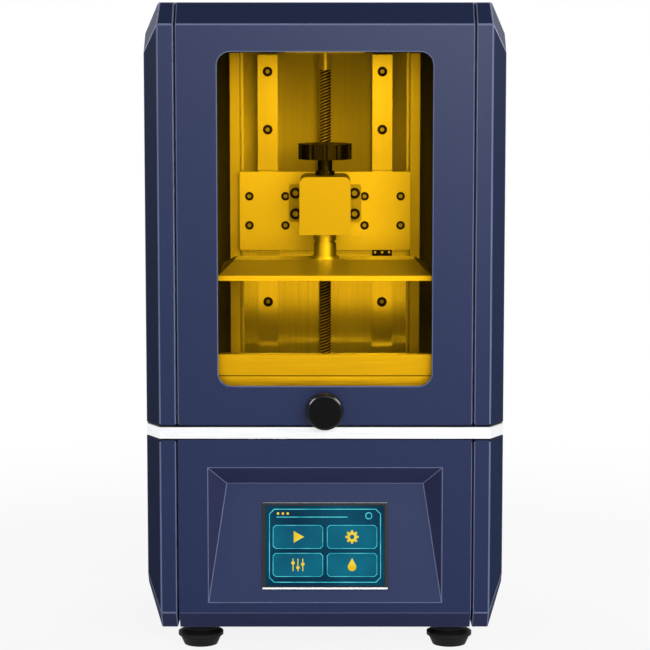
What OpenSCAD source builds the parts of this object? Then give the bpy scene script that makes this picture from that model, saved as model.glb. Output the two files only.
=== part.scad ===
// Desktop resin printer: a lift-up door, a twin-rail Z axis and a resin vat over a mask screen.
// Millimetres. +Z is up, the door faces -Y, and the origin is on the floor under the middle of the box.

/* [Body] */
// Width across the side panels
body_w = 220; // [210:1:280]
// Depth of the housing, without the door knob
body_d = 200; // [195:1:260]
// Height from the floor to the top
body_h = 400; // [395:1:500]
// Height of the rubber feet
foot_h = 15; // [10:0.5:20]
// Thickness of the panel sheet
wall = 2; // [1.5:0.1:3]

/* [Facets] */
// How far every facet of a side panel runs in from its outer face
side_run = 9; // [5:0.5:14]
// Depth of the upright facets at the front and back of a side panel
edge_drop = 16; // [10:0.5:24]
// Distance from the top of the housing to the upper ends of the upright facets
top_drop = 30; // [26:0.5:45]
// Height of the upper facet of a side panel
roof_drop = 19; // [12:0.5:24]
// How far the upper corner facets run back along a side panel
crown_back = 16; // [8:0.5:24]
// Distance from the bottom of the housing to the lower ends of the upright facets
bottom_drop = 33; // [30:0.5:45]
// Height of the lower facet of a side panel
heel_drop = 26.5; // [18:0.5:29]
// How far the lower corner facets run back along a side panel
heel_back = 6; // [4:0.5:12]
// Depth of the sloped edge at the top of the door
crown_run = 14; // [8:0.5:18]
// Height of that edge
crown_drop = 13; // [8:0.5:18]
// Depth of the sloped edge at the bottom of the base
sill_run = 11; // [6:0.5:14]
// Height of that edge
sill_drop = 11.5; // [6:0.5:14]

/* [Seams] */
// Distance of the seams from the outer side faces
seam_in = 19.5; // [16:0.5:24]
// Width of a seam
seam_gap = 1.2; // [1:0.1:3]
// Depth of the folded edges that line a seam
lip_d = 10; // [6:0.5:14]
// Clearance between panels that only pass each other
panel_gap = 0.4; // [0.3:0.05:0.6]

/* [Deck] */
// Height of the deck above the bottom of the housing
deck_rise = 120.5; // [118:0.5:150]
// Thickness of the deck plate
deck_t = 7; // [6:0.5:10]
// Thickness of the seal under the hood
seal_t = 0.8; // [0.5:0.1:0.9]
// How far the seal stays back from the outer faces
seal_in = 0.8; // [0.4:0.1:1.5]
// Width of the hood's foot on the seal
hood_foot = 9; // [6:0.5:12]

/* [Door] */
// Width of the window
window_w = 130; // [100:1:140]
// Height of the window
window_h = 202.5; // [150:0.5:205]
// Height of the window's lower edge above the deck
window_rise = 25.5; // [24:0.5:40]
// Corner radius of the window
window_r = 8; // [4:0.5:15]
// Thickness of the window pane
pane_t = 3; // [2:0.5:5]
// How far the pane laps over the edge of the window
pane_lap = 5; // [3:0.5:8]
// Thickness of the gasket under the pane
gasket_t = 1; // [0.5:0.1:2]
// Distance of the hinge line from the back of the hood
hinge_in = 34; // [30:0.5:45]
// Radius of the hinge barrel
hinge_r = 4; // [3:0.1:5]
// Radius of the hinge pin
pin_r = 1.5; // [1:0.1:2]
// Thickness of the hinge leaves
leaf_t = 1.5; // [1:0.1:2]
// Length of the hinge
hinge_l = 165; // [100:1:170]
// Depth of the door leaf along the top
leaf_d = 20; // [12:1:30]
// Radius of the door knob
knob_r = 11.2; // [8:0.1:14]
// How far the door knob stands out
knob_l = 12; // [8:0.5:16]
// Height of the door knob above the deck
knob_rise = 11; // [8:0.5:13]

/* [Console] */
// Width of the console recess
recess_w = 143.5; // [120:0.5:150]
// Height of the recess
recess_h = 84.4; // [80:0.1:95]
// Height of the recess above the bottom of the housing
recess_rise = 18; // [14:0.5:24]
// Depth of the recess at the top
recess_d = 14; // [8:0.5:18]
// Height of the sloped ceiling of the recess
recess_drop = 12.2; // [8:0.2:16]
// How far the sides of the recess slope in
recess_flare = 11; // [5:0.5:16]
// Width of the touch screen
screen_w = 73.4; // [60:0.2:80]
// Height of the touch screen
screen_h = 49.6; // [40:0.2:54]
// Thickness of the touch screen
screen_t = 4; // [3:0.5:6]
// Height of the screen's middle along the sloped face
screen_up = 35; // [32:0.5:38]
// Width of the screen bezel
bezel_rim = 1.9; // [1.5:0.1:4]
// How far the bezel stands proud
bezel_t = 1; // [0.6:0.1:2]
// Rim of the circuit board around the screen
board_rim = 4; // [2:0.5:6]
// Thickness of every circuit board
board_t = 1.6; // [1.2:0.1:2]

/* [Tower] */
// Depth of the tower face that carries the rails
rail_face = 142; // [138:0.5:150]
// Distance from the middle of a rail to the outer face of the tower
tower_side = 24.5; // [23:0.5:32]
// Thickness of the tower's web
web_t = 8; // [6:0.5:12]
// Thickness of the tower's side columns
column_t = 6.3; // [5:0.1:7]
// How far the columns stand forward of the rail face
column_l = 14.5; // [8:0.5:15]
// Width of the groove in the web beside each column
groove_w = 1; // [0.6:0.1:1.4]
// Width of the rib beside that groove
rib_w = 1.2; // [0.8:0.1:1.6]
// Height of that rib
rib_h = 3; // [1:0.1:3.2]
// Distance from the top of the tower to the top of the hood
tower_gap = 32.5; // [28:0.5:40]
// Depth of the tower's foot
tower_foot = 26; // [15:1:30]
// Width of the bearing block on the tower
cap_w = 52; // [40:1:70]
// Height of the bearing block
cap_t = 10; // [6:0.5:12]

/* [Rails] */
// Distance between the two rails
rail_gauge = 75; // [72:0.5:80]
// Width of a rail
rail_w = 13; // [12:0.5:16]
// Height of a rail
rail_t = 10; // [8:0.5:12]
// Distance of a rail's top below the top of the tower
rail_down = 1.2; // [0.4:0.1:4]
// Height of a rail's lower end above the deck
rail_up = 7; // [4:0.5:10]
// Distance from a rail's top to its first screw
rail_end = 11; // [8:0.5:14]
// Distance between rail screws
rail_pitch = 37.8; // [30:0.2:40]
// Radius of a rail screw's head
rail_head_r = 3.2; // [2.5:0.1:4]
// Depth of the counterbore for that head
rail_head_t = 4.2; // [3:0.1:6]
// Radius of the ball groove in a rail's sides
ball_r = 1.6; // [1:0.1:2]

/* [Carriage] */
// Height of the carriage plate's middle
carriage_z = 265.4; // [262:0.2:275]
// Width of a rail carriage
truck_w = 32; // [28:0.5:34]
// Length of a rail carriage
truck_l = 42; // [36:0.5:48]
// Height of a rail carriage above the rail face
truck_h = 16; // [15:0.5:18]
// Clearance between a rail carriage and the tower
truck_gap = 4; // [3:0.5:5]
// Length of the plastic ends of a rail carriage
end_l = 4.5; // [3:0.5:6]
// Length of the wiper under the right rail carriage
wiper_l = 9.5; // [3:0.5:12]
// Distance from the middle of a rail to the side of the carriage plate
plate_side = 18; // [16:0.5:19]
// Height of the carriage plate
plate_h = 51; // [44:0.5:54]
// Thickness of the carriage plate
plate_t = 8; // [6:0.5:9]
// Sideways distance between the screws of one carriage
bolt_x = 23.5; // [20:0.5:25]
// Upright distance between them
bolt_z = 19; // [15:0.5:22]
// Shaft radius of the carriage screws
bolt_r = 1.5; // [1.2:0.1:1.8]
// Head radius of the carriage screws
bolt_head_r = 2.8; // [2.2:0.1:3.2]

/* [Arm] */
// Width of the arm bracket
bracket_w = 47; // [44:0.5:50]
// Height of the arm bracket
bracket_h = 24.2; // [22:0.2:26]
// Thickness of the arm bracket
bracket_t = 4; // [3:0.5:5]
// Height of the bracket's middle above the carriage's middle
bracket_up = 5.3; // [4:0.1:7]
// Sideways distance between the bracket screws
bracket_bolt_x = 38.4; // [36:0.2:40]
// Upright distance between them
bracket_bolt_z = 13.5; // [11:0.5:15]
// Shaft radius of the bracket screws
bracket_bolt_r = 2; // [1.5:0.1:2.5]
// Head radius of the bracket screws
bracket_head_r = 3.5; // [3:0.1:3.8]
// Height of the bracket screws' heads
bracket_head_t = 3.2; // [2.5:0.1:3.5]
// Width of the arm
arm_w = 24; // [16:0.5:28]
// Height of the arm
arm_h = 11.6; // [8:0.2:12]

/* [Clamp] */
// Width of the clamp block
clamp_w = 31.7; // [28:0.1:36]
// Depth of the clamp block
clamp_d = 38; // [30:0.5:42]
// Height of the clamp block
clamp_h = 36; // [32:0.2:40]
// Height of the clamp block's top above the top of the arm bracket
clamp_up = 9.8; // [7:0.1:12]
// Radius of the clamp block's upper corners
clamp_r = 4.5; // [1:0.5:6]
// Radius of the clamp knob
clamp_knob_r = 16.8; // [12:0.1:18]
// Thickness of the clamp knob
clamp_knob_t = 9.5; // [7:0.5:12]
// Number of finger hollows round the clamp knob
clamp_lobes = 12; // [6:1:16]
// Radius of the clamp knob's shank
shank_r = 4.6; // [3:0.1:6]
// Length of the shank that shows
shank_l = 7.5; // [5:0.5:12]
// Radius of the collar under the shank
collar_r = 6; // [5:0.1:8]
// Height of that collar
collar_t = 2.7; // [2:0.1:4]
// Radius of the stud in the clamp block
stud_r = 4; // [3:0.1:4.5]
// Length of that stud
stud_l = 12; // [8:0.5:14]

/* [Platform] */
// Room beside the build platform inside the vat
platform_side = 9.4; // [2:0.2:15]
// Room before and behind the build platform inside the vat
platform_in = 4; // [2:0.5:8]
// Thickness of the build platform at its edge
platform_t = 3.1; // [2:0.1:6]
// Rise of the platform's sloped top
hip_up = 7.2; // [4:0.1:10]
// How far the slopes at the sides draw in
hip_side = 9.2; // [5:0.1:14]
// Depth of the flat on top, where the stem stands
hip_flat = 24; // [20:0.5:30]
// Height of the clamp block above the platform
stem_l = 16.1; // [12:0.1:22]
// Radius of the platform stem
stem_r = 7.1; // [6:0.1:9]
// Radius of the flange at the foot of the stem
stem_foot_r = 9; // [8:0.5:11]
// Thickness of that flange
stem_foot_t = 1.2; // [0.8:0.1:3]
// Depth of the ring groove round the stem
ring_in = 0.9; // [0.5:0.1:1.5]

/* [Vat] */
// Width of the vat
vat_w = 160; // [150:0.5:164]
// Depth of the vat
vat_d = 96; // [92:0.5:97]
// Distance of the vat from the front of the housing
vat_front = 12; // [10:0.5:13]
// Thickness of the vat's walls
vat_wall = 5; // [4:0.5:6]
// Height of the vat's walls
vat_h = 26.5; // [22:0.1:30]
// Height of the front lip above the walls
lip_h = 13.8; // [8:0.2:16]
// How far the lip stands out
lip_out = 1.5; // [0.5:0.1:2]
// Height of the groove under the lip
lip_gap = 0.8; // [0.4:0.1:1.4]
// Thickness of the film
film_t = 0.3; // [0.2:0.1:0.5]
// Thickness of the ring that clamps the film
ring_t = 2.9; // [2:0.1:4]
// Width of that ring at the sides
ring_w = 9; // [7:0.5:11]
// Width of the vat's side flanges
ear_w = 13; // [12:0.5:14]
// Length of the vat's side flanges
ear_l = 50; // [40:1:70]
// Thickness of the vat's side flanges
ear_t = 5; // [4:0.5:7]
// Shaft radius of the thumb screws
thumb_r = 3; // [2:0.1:3.5]
// Head radius of the thumb screws
thumb_head_r = 8; // [6:0.5:9]
// Head height of the thumb screws
thumb_head_t = 10; // [8:0.5:14]
// Thickness of the vat brackets
clip_t = 6; // [4:0.5:8]

/* [Lead screw] */
// Distance of the lead screw from the rail face
screw_out = 8; // [7.5:0.1:9]
// Radius of the lead screw
screw_r = 4; // [3.5:0.1:4]
// Radius of the shaft coupler
coupler_r = 7; // [6:0.1:7.3]
// Length of the shaft coupler
coupler_l = 22; // [20:0.5:28]
// Width of the lead nut
nut_w = 30; // [20:0.5:34]
// Height of the lead nut
nut_h = 26; // [20:0.5:27]
// Outer radius of the upper bearing
bearing_r = 8; // [7:0.1:9]
// Width of the motor
motor_w = 42.3; // [39:0.1:44]
// Length of the motor
motor_l = 40; // [34:0.5:48]
// Radius of the motor's pilot
pilot_r = 11; // [10:0.1:12]
// Height of the motor's pilot
pilot_t = 2; // [1:0.5:3]
// Radius of the motor shaft
shaft_r = 2.5; // [2:0.1:3]
// Radial clearance of turning shafts
run_gap = 0.05; // [0.03:0.01:0.1]

/* [Light engine] */
// Room round the mask screen inside the ring of the vat
lcd_side = 2; // [0.5:0.5:5]
// Thickness of the mask screen
lcd_t = 6; // [4:0.5:6.5]
// Ledge under the mask screen
lcd_ledge = 4; // [2:0.5:6]
// Width of the lamp board and its heat sink
lamp_w = 104; // [80:1:120]
// Depth of the lamp board and its heat sink
lamp_d = 66; // [50:1:72]
// Height of the heat sink
sink_h = 22; // [15:1:30]
// Thickness of the heat sink's base and fins
fin_t = 3; // [2:0.5:4]
// Number of heat sink fins
fins = 11; // [5:1:13]
// Number of lamps across
lamps_x = 7; // [3:1:9]
// Number of lamps deep
lamps_y = 4; // [2:1:6]
// Radius of a lamp
lamp_r = 2.5; // [1.5:0.1:3]
// Height of the lens plate above the lamp board
lens_up = 14; // [8:0.5:20]
// Thickness of the lens plate
lens_t = 3; // [2:0.5:5]

/* [Feet and posts] */
// Radius of a foot at its rim
foot_r = 14.1; // [10:0.1:16]
// Radius of a foot on the floor
foot_base_r = 10.4; // [8:0.1:14]
// Height of the rim of a foot
foot_rim = 2; // [1:0.5:3]
// Height of that rim above the floor
foot_flare = 6; // [4:0.5:8]
// Sideways distance between the feet
foot_x = 156; // [130:1:164]
// Distance of the feet from the front and back
foot_in = 30; // [26:1:45]
// Radius of the screw hole in a foot
foot_hole_r = 2.2; // [1.5:0.1:3]
// Radius of the recess for the screw head
foot_sink_r = 5; // [4:0.1:7]
// Width of a corner post
post_w = 12; // [8:0.5:14]
// Distance of the corner posts from the front and back
post_in = 18; // [17:0.5:22]

/* [Electrics] */
// Width of the cooling fan
fan_w = 60; // [50:1:64]
// Depth of the cooling fan
fan_t = 15; // [10:0.5:20]
// Sideways place of the fan
fan_x = -40; // [-50:1:-34]
// Height of the fan's middle above the bottom of the housing
fan_up = 66; // [50:1:80]
// Number of fan blades
blades = 7; // [5:1:9]
// Width of a fan blade
blade_l = 12; // [8:0.5:13]
// Thickness of a fan blade
blade_t = 1.6; // [1:0.1:2]
// Angle of a fan blade to the fan's axis
blade_tilt = 40; // [35:1:55]
// Radius of the fan's hub
hub_r = 12.5; // [9:0.5:15]
// Radius of a vent hole
vent_r = 2.7; // [1.5:0.1:3]
// Distance between the rings of vent holes
vent_pitch = 7.2; // [6.5:0.1:8]
// Rings of vent holes
vent_rings = 3; // [1:1:3]
// Sideways place of the inlet and the switch
inlet_x = 58; // [45:1:70]
// Height of the power inlet above the bottom of the housing
inlet_up = 30; // [22:1:40]
// Radius of the power inlet's flange
inlet_r = 7.5; // [6:0.1:9]
// Radius of the inlet's socket
socket_r = 3.3; // [2.8:0.1:4]
// Radius of the inlet's contact pin
contact_r = 1.1; // [0.8:0.1:1.3]
// Height of the power switch above the bottom of the housing
switch_up = 58; // [54:1:80]
// Width of the power switch's body
switch_w = 13; // [11:0.5:16]
// Height of the power switch's body
switch_h = 19; // [17:0.5:24]
// Depth of the power switch's body
switch_d = 12; // [10:0.5:18]
// Rim of the switch's flange
switch_rim = 1.2; // [0.8:0.1:2]
// Angle of the rocker from the middle
rocker_tilt = 8; // [4:1:10]
// Depth of the socket shell on the side
usb_l = 14; // [12:0.5:18]
// Width of the opening in that shell
usb_w = 12.4; // [12:0.1:13]
// Height of the opening in that shell
usb_h = 5; // [4.6:0.1:5.4]
// Distance of the socket from the front
usb_in = 70; // [40:1:120]
// Height of the socket above the bottom of the housing
usb_up = 52; // [45:1:80]
// Width of the mainboard
main_w = 84; // [60:1:90]
// Depth of the mainboard
main_d = 60; // [50:1:70]
// Height of the posts under the mainboard
main_up = 8; // [5:0.5:10]

/* [Hidden] */
$fn = 48;

half_w = body_w / 2;
base_z = foot_h;
deck_z = foot_h + deck_rise;
deck_top = deck_z + deck_t;
hood_z = deck_top + seal_t;
base_top = deck_z - panel_gap;
seam_x = half_w - seam_in;
centre_x = seam_x - seam_gap / 2;
flange_x = seam_x + seam_gap / 2;
sill_end = sill_run + wall;

// Three points on each corner facet: on the outer edge, on the front edge and on the side face
crown_corner = [
    [half_w, edge_drop, body_h - top_drop],
    [half_w - side_run, 0, body_h - crown_drop],
    [half_w, edge_drop + crown_back, body_h - roof_drop]
];
heel_corner = [
    [half_w, edge_drop, base_z + bottom_drop],
    [half_w - side_run, 0, base_z + sill_drop],
    [half_w, edge_drop + heel_back, base_z + heel_drop]
];

// The rocker's outline from its pivot: the tips, the middle of its face and its root
rocker_tip = [3.2, 7.4];
rocker_mid = 1.8;
rocker_root = [2, 3];
rocker_in = 1;
rear_out = rocker_tip.x * cos(rocker_tilt) + rocker_tip.y * sin(rocker_tilt) - rocker_in;
front_y = (knob_l - rear_out - body_d) / 2;

window_z = deck_top + window_rise + window_h / 2;
hinge_y = body_d - hinge_in;
hinge_z = body_h - hinge_r;
hinge_side = hinge_r + panel_gap;
knuckles = 5;
knuckle_l = hinge_l / knuckles;

recess_z = base_z + recess_rise;
slope_h = recess_h - recess_drop;
console_tilt = atan2(recess_d, slope_h);

tower_w = rail_gauge + 2 * tower_side;
column_y = rail_face - column_l;
tower_top = body_h - tower_gap;
rail_x = rail_gauge / 2;
rail_z = deck_top + rail_up;
rail_top = tower_top - rail_down;
rail_len = rail_top - rail_z;
rail_holes = floor((rail_len - 2 * rail_end) / rail_pitch) + 1;
plate_w = rail_gauge + 2 * plate_side;
rail_front = rail_face - rail_t;
plate_back = rail_face - truck_h;
plate_front = plate_back - plate_t;
bracket_front = plate_front - bracket_t;
bracket_z = carriage_z + bracket_up;
screw_y = rail_face - screw_out;
coupler_z = deck_top + pilot_t;
bracket_top = bracket_z + bracket_h / 2;
arm_z = bracket_top - arm_h;

vat_mid = vat_front + vat_d / 2;
ring_z = deck_top;
film_z = ring_z + ring_t;
vat_z = film_z + film_t;
vat_top = vat_z + vat_h;
clip_gap = 1.2;
clip_x = vat_w / 2 + ear_w + clip_gap;
clip_z = vat_z + ear_t + clip_gap;

platform_y = vat_mid;
platform_w = vat_w - 2 * vat_wall - 2 * platform_side;
platform_d = vat_d - 2 * vat_wall - 2 * platform_in;
clamp_top = bracket_top + clamp_up;
clamp_z = clamp_top - clamp_h;
clamp_back = platform_y + clamp_d / 2;
platform_top = clamp_z - stem_l;
platform_z = platform_top - hip_up - platform_t;
stem_in = 10;
knob_z = clamp_top + collar_t + shank_l;

lcd_w = vat_w - 2 * ring_w - 2 * lcd_side;
lcd_d = vat_d - 2 * vat_wall - 2 * lcd_side;
lcd_z = deck_top + ring_t - panel_gap / 2 - lcd_t;
lamp_z = base_z + wall + sink_h;
lens_z = lamp_z + board_t + lens_up;
fan_z = base_z + fan_up;
fan_y = body_d - wall - fan_t;
fan_bore = fan_w / 2 - 1.5;
main_x = -40;
main_y = 138;
floor_vent_x = 32;
main_z = base_z + wall + main_up;
switch_z = base_z + switch_up;
inlet_z = base_z + inlet_up;

// One half of a facet's corner, so that an inset outline keeps the sheet's thickness
function facet_in(drop, run, t) = t * tan(atan2(drop, run) / 2);
function facet_up(drop, run, t) = t * tan((90 - atan2(drop, run)) / 2);

// Outline of a faceted section, inset by t: u lies each side of the middle, v runs from lo to hi
function outline(half, lo, hi, run_lo, drop_lo, run_hi, drop_hi, t) =
    let (
        u_lo = half - run_lo - facet_in(drop_lo, run_lo, t),
        u_hi = half - run_hi - facet_in(drop_hi, run_hi, t),
        v_lo = lo + drop_lo + facet_up(drop_lo, run_lo, t),
        v_hi = hi - drop_hi - facet_up(drop_hi, run_hi, t),
        u = half - t
    )
    [
        [-u_lo, lo + t], [u_lo, lo + t], [u, v_lo], [u, v_hi],
        [u_hi, hi - t], [-u_hi, hi - t], [-u, v_hi], [-u, v_lo]
    ];

// Shifts the model so that its box is centred on the origin
module placed() translate([0, front_y, 0]) children();

module block(lo, hi) translate(lo) cube(hi - lo);

// A box that is centred on X
module bar(w, lo, hi) block([-w / 2, lo.x, lo.y], [w / 2, hi.x, hi.y]);

module rod_z(r, lo, hi) translate([0, 0, lo]) cylinder(r = r, h = hi - lo);
module rod_y(r, lo, hi) translate([0, lo, 0]) rotate([-90, 0, 0]) cylinder(r = r, h = hi - lo);
module rod_x(r, lo, hi) translate([lo, 0, 0]) rotate([0, 90, 0]) cylinder(r = r, h = hi - lo);

// A flat shape in Y and Z, drawn out along X
module along_x(lo, hi) translate([lo, 0, 0]) rotate([90, 0, 90]) linear_extrude(hi - lo) children();

// A flat shape in X and Z, drawn out along Y
module along_y(lo, hi) translate([0, hi, 0]) rotate([90, 0, 0]) linear_extrude(hi - lo) children();

module round_rect(w, h, r) {
    square([w - 2 * r, h], center = true);
    square([w, h - 2 * r], center = true);
    for (x = [-1, 1], y = [-1, 1])
        translate([x * (w / 2 - r), y * (h / 2 - r)])
            circle(r);
}

// The housing's three sections, inset by t
module plan(t = 0)
    polygon(outline(half_w, 0, body_d, side_run, edge_drop, side_run, edge_drop, t));
module face(t = 0)
    polygon(outline(half_w, base_z, body_h, side_run, heel_drop, side_run, roof_drop, t));
module profile(t = 0)
    translate([body_d / 2, 0])
        polygon(outline(body_d / 2, base_z, body_h, sill_run, sill_drop, crown_run, crown_drop, t));

module profile_band(t_out, t_in, lo, hi)
    intersection() {
        difference() {
            profile(t_out);
            profile(t_in);
        }
        translate(lo)
            square(hi - lo);
    }

// Cuts a corner of the housing along the plane through three points, inset by t
module corner_cut(p, t) {
    across = cross(p[1] - p[0], p[2] - p[0]);
    out = across * sign(across.x) / norm(across);
    translate(p[0])
        rotate([0, -asin(out.z), atan2(out.y, out.x)])
            translate([-t, -body_h / 2, -body_h / 2])
                cube(body_h);
}

module envelope(t = 0)
    difference() {
        intersection() {
            linear_extrude(body_h) plan(t);
            along_y(0, body_d) face(t);
            along_x(-half_w, half_w) profile(t);
        }
        for (x = [0, 1], y = [0, 1])
            mirror([x, 0, 0])
                translate([0, y * body_d, 0])
                    mirror([0, y, 0]) {
                        corner_cut(crown_corner, t);
                        corner_cut(heel_corner, t);
                    }
    }

// A panel between the two seams, cut from the profile, with its edges folded in
module centre_panel(lo, hi) {
    along_x(-centre_x, centre_x) profile_band(0, wall, lo, hi);
    for (x = [-centre_x, centre_x - wall])
        along_x(x, x + wall) profile_band(0, lip_d, lo, hi);
}

// A side panel with its faceted edges, and the lip and tab that line its seam
module side_panel(lo, hi) {
    tab = lip_d + panel_gap;
    intersection() {
        difference() {
            envelope();
            envelope(wall);
        }
        block([flange_x, 0, lo], [half_w, body_d, hi]);
    }
    along_x(flange_x, flange_x + wall) profile_band(0, tab + wall, [0, lo], [body_d, hi]);
    along_x(centre_x - wall, flange_x + wall) profile_band(tab, tab + wall, [0, lo], [body_d, hi]);
}

// Base

// The console's hollow: a sloped face under a sloped ceiling, between two flared cheeks
module console_wedge(grow) {
    side = recess_w / 2 + grow;
    deep = recess_d + grow;
    low = recess_z - grow;
    high = recess_z + recess_h + grow;
    intersection() {
        along_x(-side, side)
            polygon([[0, low], [deep, recess_z + slope_h], [0, high]]);
        translate([0, 0, low])
            linear_extrude(high - low)
                polygon([[-side, 0], [side, 0], [side - recess_flare, deep], [recess_flare - side, deep]]);
    }
}

// Places a shape on the sloped face of the console: y points into the housing
module on_console() translate([0, 0, recess_z]) rotate([-console_tilt, 0, 0]) children();

module screen_frame(w, h, lo, hi)
    on_console()
        translate([0, 0, screen_up])
            bar(w, [lo, -h / 2], [hi, h / 2]);

module base_front_panel()
    color("#2b3557") placed()
        difference() {
            union() {
                centre_panel([0, base_z], [sill_end, base_top]);
                console_wedge(wall);
            }
            console_wedge(0);
            bar(recess_w, [-wall, recess_z], [0, recess_z + recess_h]);
            screen_frame(screen_w + panel_gap, screen_h + panel_gap, -wall, wall * 3);
        }

module base_side_right()
    color("#2b3557") placed()
        difference() {
            side_panel(base_z, base_top);
            translate([0, usb_in, base_z + usb_up])
                block([half_w - wall * 2, -usb_w / 2 - wall / 2, -usb_h / 2 - wall / 2],
                    [half_w + wall, usb_w / 2 + wall / 2, usb_h / 2 + wall / 2]);
        }

module base_side_left()
    color("#2b3557") placed()
        mirror([1, 0, 0])
            side_panel(base_z, base_top);

module vent_holes()
    for (ring = [0 : vent_rings], step = [0 : max(0, 6 * ring - 1)])
        rotate([0, step * 60 / max(1, ring), 0])
            translate([ring * vent_pitch, 0, 0])
                rod_y(vent_r, body_d - wall * 2, body_d + wall);

module base_back_panel()
    color("#2b3557") placed()
        difference() {
            centre_panel([body_d - sill_end, base_z], [body_d, base_top]);
            translate([fan_x, 0, fan_z])
                vent_holes();
            translate([inlet_x, 0, inlet_z])
                rod_y(inlet_r - wall + panel_gap, body_d - wall * 2, body_d + wall);
            translate([inlet_x, 0, switch_z])
                bar(switch_w + panel_gap, [body_d - wall * 2, -(switch_h + panel_gap) / 2],
                    [body_d + wall, (switch_h + panel_gap) / 2]);
        }

module at_feet()
    for (x = [-foot_x / 2, foot_x / 2], y = [foot_in, body_d - foot_in])
        translate([x, y, 0])
            children();

module at_main_posts()
    for (x = [-1, 1], y = [-1, 1])
        translate([main_x + x * (main_w / 2 - wall * 2), main_y + y * (main_d / 2 - wall * 2), 0])
            children();

module base_bottom_plate()
    color("#3a3d45") placed()
        difference() {
            union() {
                centre_panel([sill_end + panel_gap, base_z], [body_d - sill_end - panel_gap, base_z + lip_d]);
                at_main_posts()
                    rod_z(wall * 1.5, base_z, main_z);
            }
            at_feet()
                rod_z(foot_hole_r, base_z - wall, base_z + wall * 2);
            for (i = [-4 : 4])
                translate([floor_vent_x + i * wall * 3.5, main_y, base_z])
                    linear_extrude(wall * 3, center = true)
                        round_rect(wall * 1.5, main_d * 0.7, wall * 0.7);
        }

module corner_posts()
    color("#6b6f76") placed()
        for (x = [-1, 1], y = [post_in, body_d - post_in])
            translate([x * (centre_x - wall * 2), y, 0])
                mirror([x > 0 ? 1 : 0, 0, 0])
                    mirror([0, y > body_d / 2 ? 1 : 0, 0])
                        difference() {
                            block([0, 0, base_z + wall], [post_w, post_w, deck_z]);
                            block([wall, wall, base_z], [post_w * 2, post_w * 2, deck_z + wall]);
                        }

module feet()
    color("#17181a") placed()
        at_feet()
            difference() {
                union() {
                    cylinder(r1 = foot_base_r, r2 = foot_r - wall / 2, h = foot_flare);
                    rod_z(foot_r, foot_flare, foot_flare + foot_rim);
                    translate([0, 0, foot_flare + foot_rim])
                        cylinder(r1 = foot_r, r2 = foot_base_r, h = foot_rim);
                    rod_z(foot_base_r, foot_flare, foot_h);
                }
                rod_z(foot_hole_r, -foot_h, foot_h * 2);
                rod_z(foot_sink_r, -foot_h, foot_h / 2);
            }

// Deck and hood

module deck_plate()
    color("#dfe1e3") placed()
        difference() {
            translate([0, 0, deck_z])
                linear_extrude(deck_t) plan();
            translate([0, platform_y, 0]) {
                block([-(lcd_w + panel_gap) / 2, -(lcd_d + panel_gap) / 2, lcd_z],
                    [(lcd_w + panel_gap) / 2, (lcd_d + panel_gap) / 2, deck_top + wall]);
                block([-lcd_w / 2 + lcd_ledge, -lcd_d / 2 + lcd_ledge, deck_z - wall],
                    [lcd_w / 2 - lcd_ledge, lcd_d / 2 - lcd_ledge, deck_top + wall]);
            }
            translate([0, screw_y, 0])
                rod_z(pilot_r + panel_gap, deck_z - wall, deck_top + wall);
        }

module hood_seal()
    color("#101114") placed()
        translate([0, 0, deck_top])
            linear_extrude(seal_t)
                difference() {
                    plan(seal_in);
                    plan(hood_foot);
                    translate([-flange_x, -body_d / 2])
                        square([2 * flange_x, body_d]);
                }

module hood_side()
    union() {
        side_panel(hood_z, body_h);
        translate([0, 0, hood_z])
            linear_extrude(wall)
                intersection() {
                    difference() {
                        plan(wall / 2);
                        plan(hood_foot);
                    }
                    translate([flange_x, 0])
                        square([half_w, body_d]);
                }
    }

module hood_side_right()
    color("#2f3a5e") placed()
        hood_side();

module hood_side_left()
    color("#2f3a5e") placed()
        mirror([1, 0, 0])
            hood_side();

module hood_back_panel()
    color("#2f3a5e") placed()
        centre_panel([hinge_y + hinge_side, hood_z], [body_d, body_h]);

// Knuckles of the hinge, every other one from the first given
module knuckle_row(first)
    translate([0, hinge_y, hinge_z])
        for (i = [first : 2 : knuckles - 1])
            let (x = -hinge_l / 2 + i * knuckle_l)
                difference() {
                    union() {
                        rod_x(hinge_r, x + panel_gap / 2, x + knuckle_l - panel_gap / 2);
                        knuckle_web(first, x);
                    }
                    rod_x(pin_r + run_gap, x - wall, x + knuckle_l + wall);
                }

// The short web from a knuckle to its leaf
module knuckle_web(first, x) {
    y = first == 0 ? [0, hinge_side + wall] : [-hinge_side - wall, 0];
    block([x + panel_gap / 2, y[0], hinge_r - wall - leaf_t],
        [x + knuckle_l - panel_gap / 2, y[1], hinge_r - wall]);
}

module hinge_fixed_leaf()
    color("#55585e") placed() {
        knuckle_row(0);
        bar(hinge_l, [hinge_y + hinge_side, body_h - wall - leaf_t],
            [body_d - crown_run - wall, body_h - wall]);
    }

module hinge_door_leaf()
    color("#55585e") placed() {
        knuckle_row(1);
        bar(hinge_l, [hinge_y - hinge_side - leaf_d, body_h - wall - leaf_t],
            [hinge_y - hinge_side, body_h - wall]);
    }

module hinge_pin()
    color("#b9bcc0") placed()
        translate([0, hinge_y, hinge_z])
            rod_x(pin_r, -hinge_l / 2, hinge_l / 2);

// Screen and light engine

module screen_bezel()
    color("#0c0d10") placed()
        difference() {
            screen_frame(screen_w + 2 * bezel_rim, screen_h + 2 * bezel_rim, -bezel_t, 0);
            screen_frame(screen_w + panel_gap, screen_h + panel_gap, -bezel_t * 2, bezel_t);
        }

module touch_screen()
    color("#0f4a63") placed()
        screen_frame(screen_w, screen_h, -bezel_t / 2, wall + screen_t);

module screen_board()
    color("#1d5a3a") placed()
        screen_frame(screen_w + 2 * board_rim, screen_h + 2 * board_rim, wall + screen_t,
            wall + screen_t + board_t);

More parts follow.
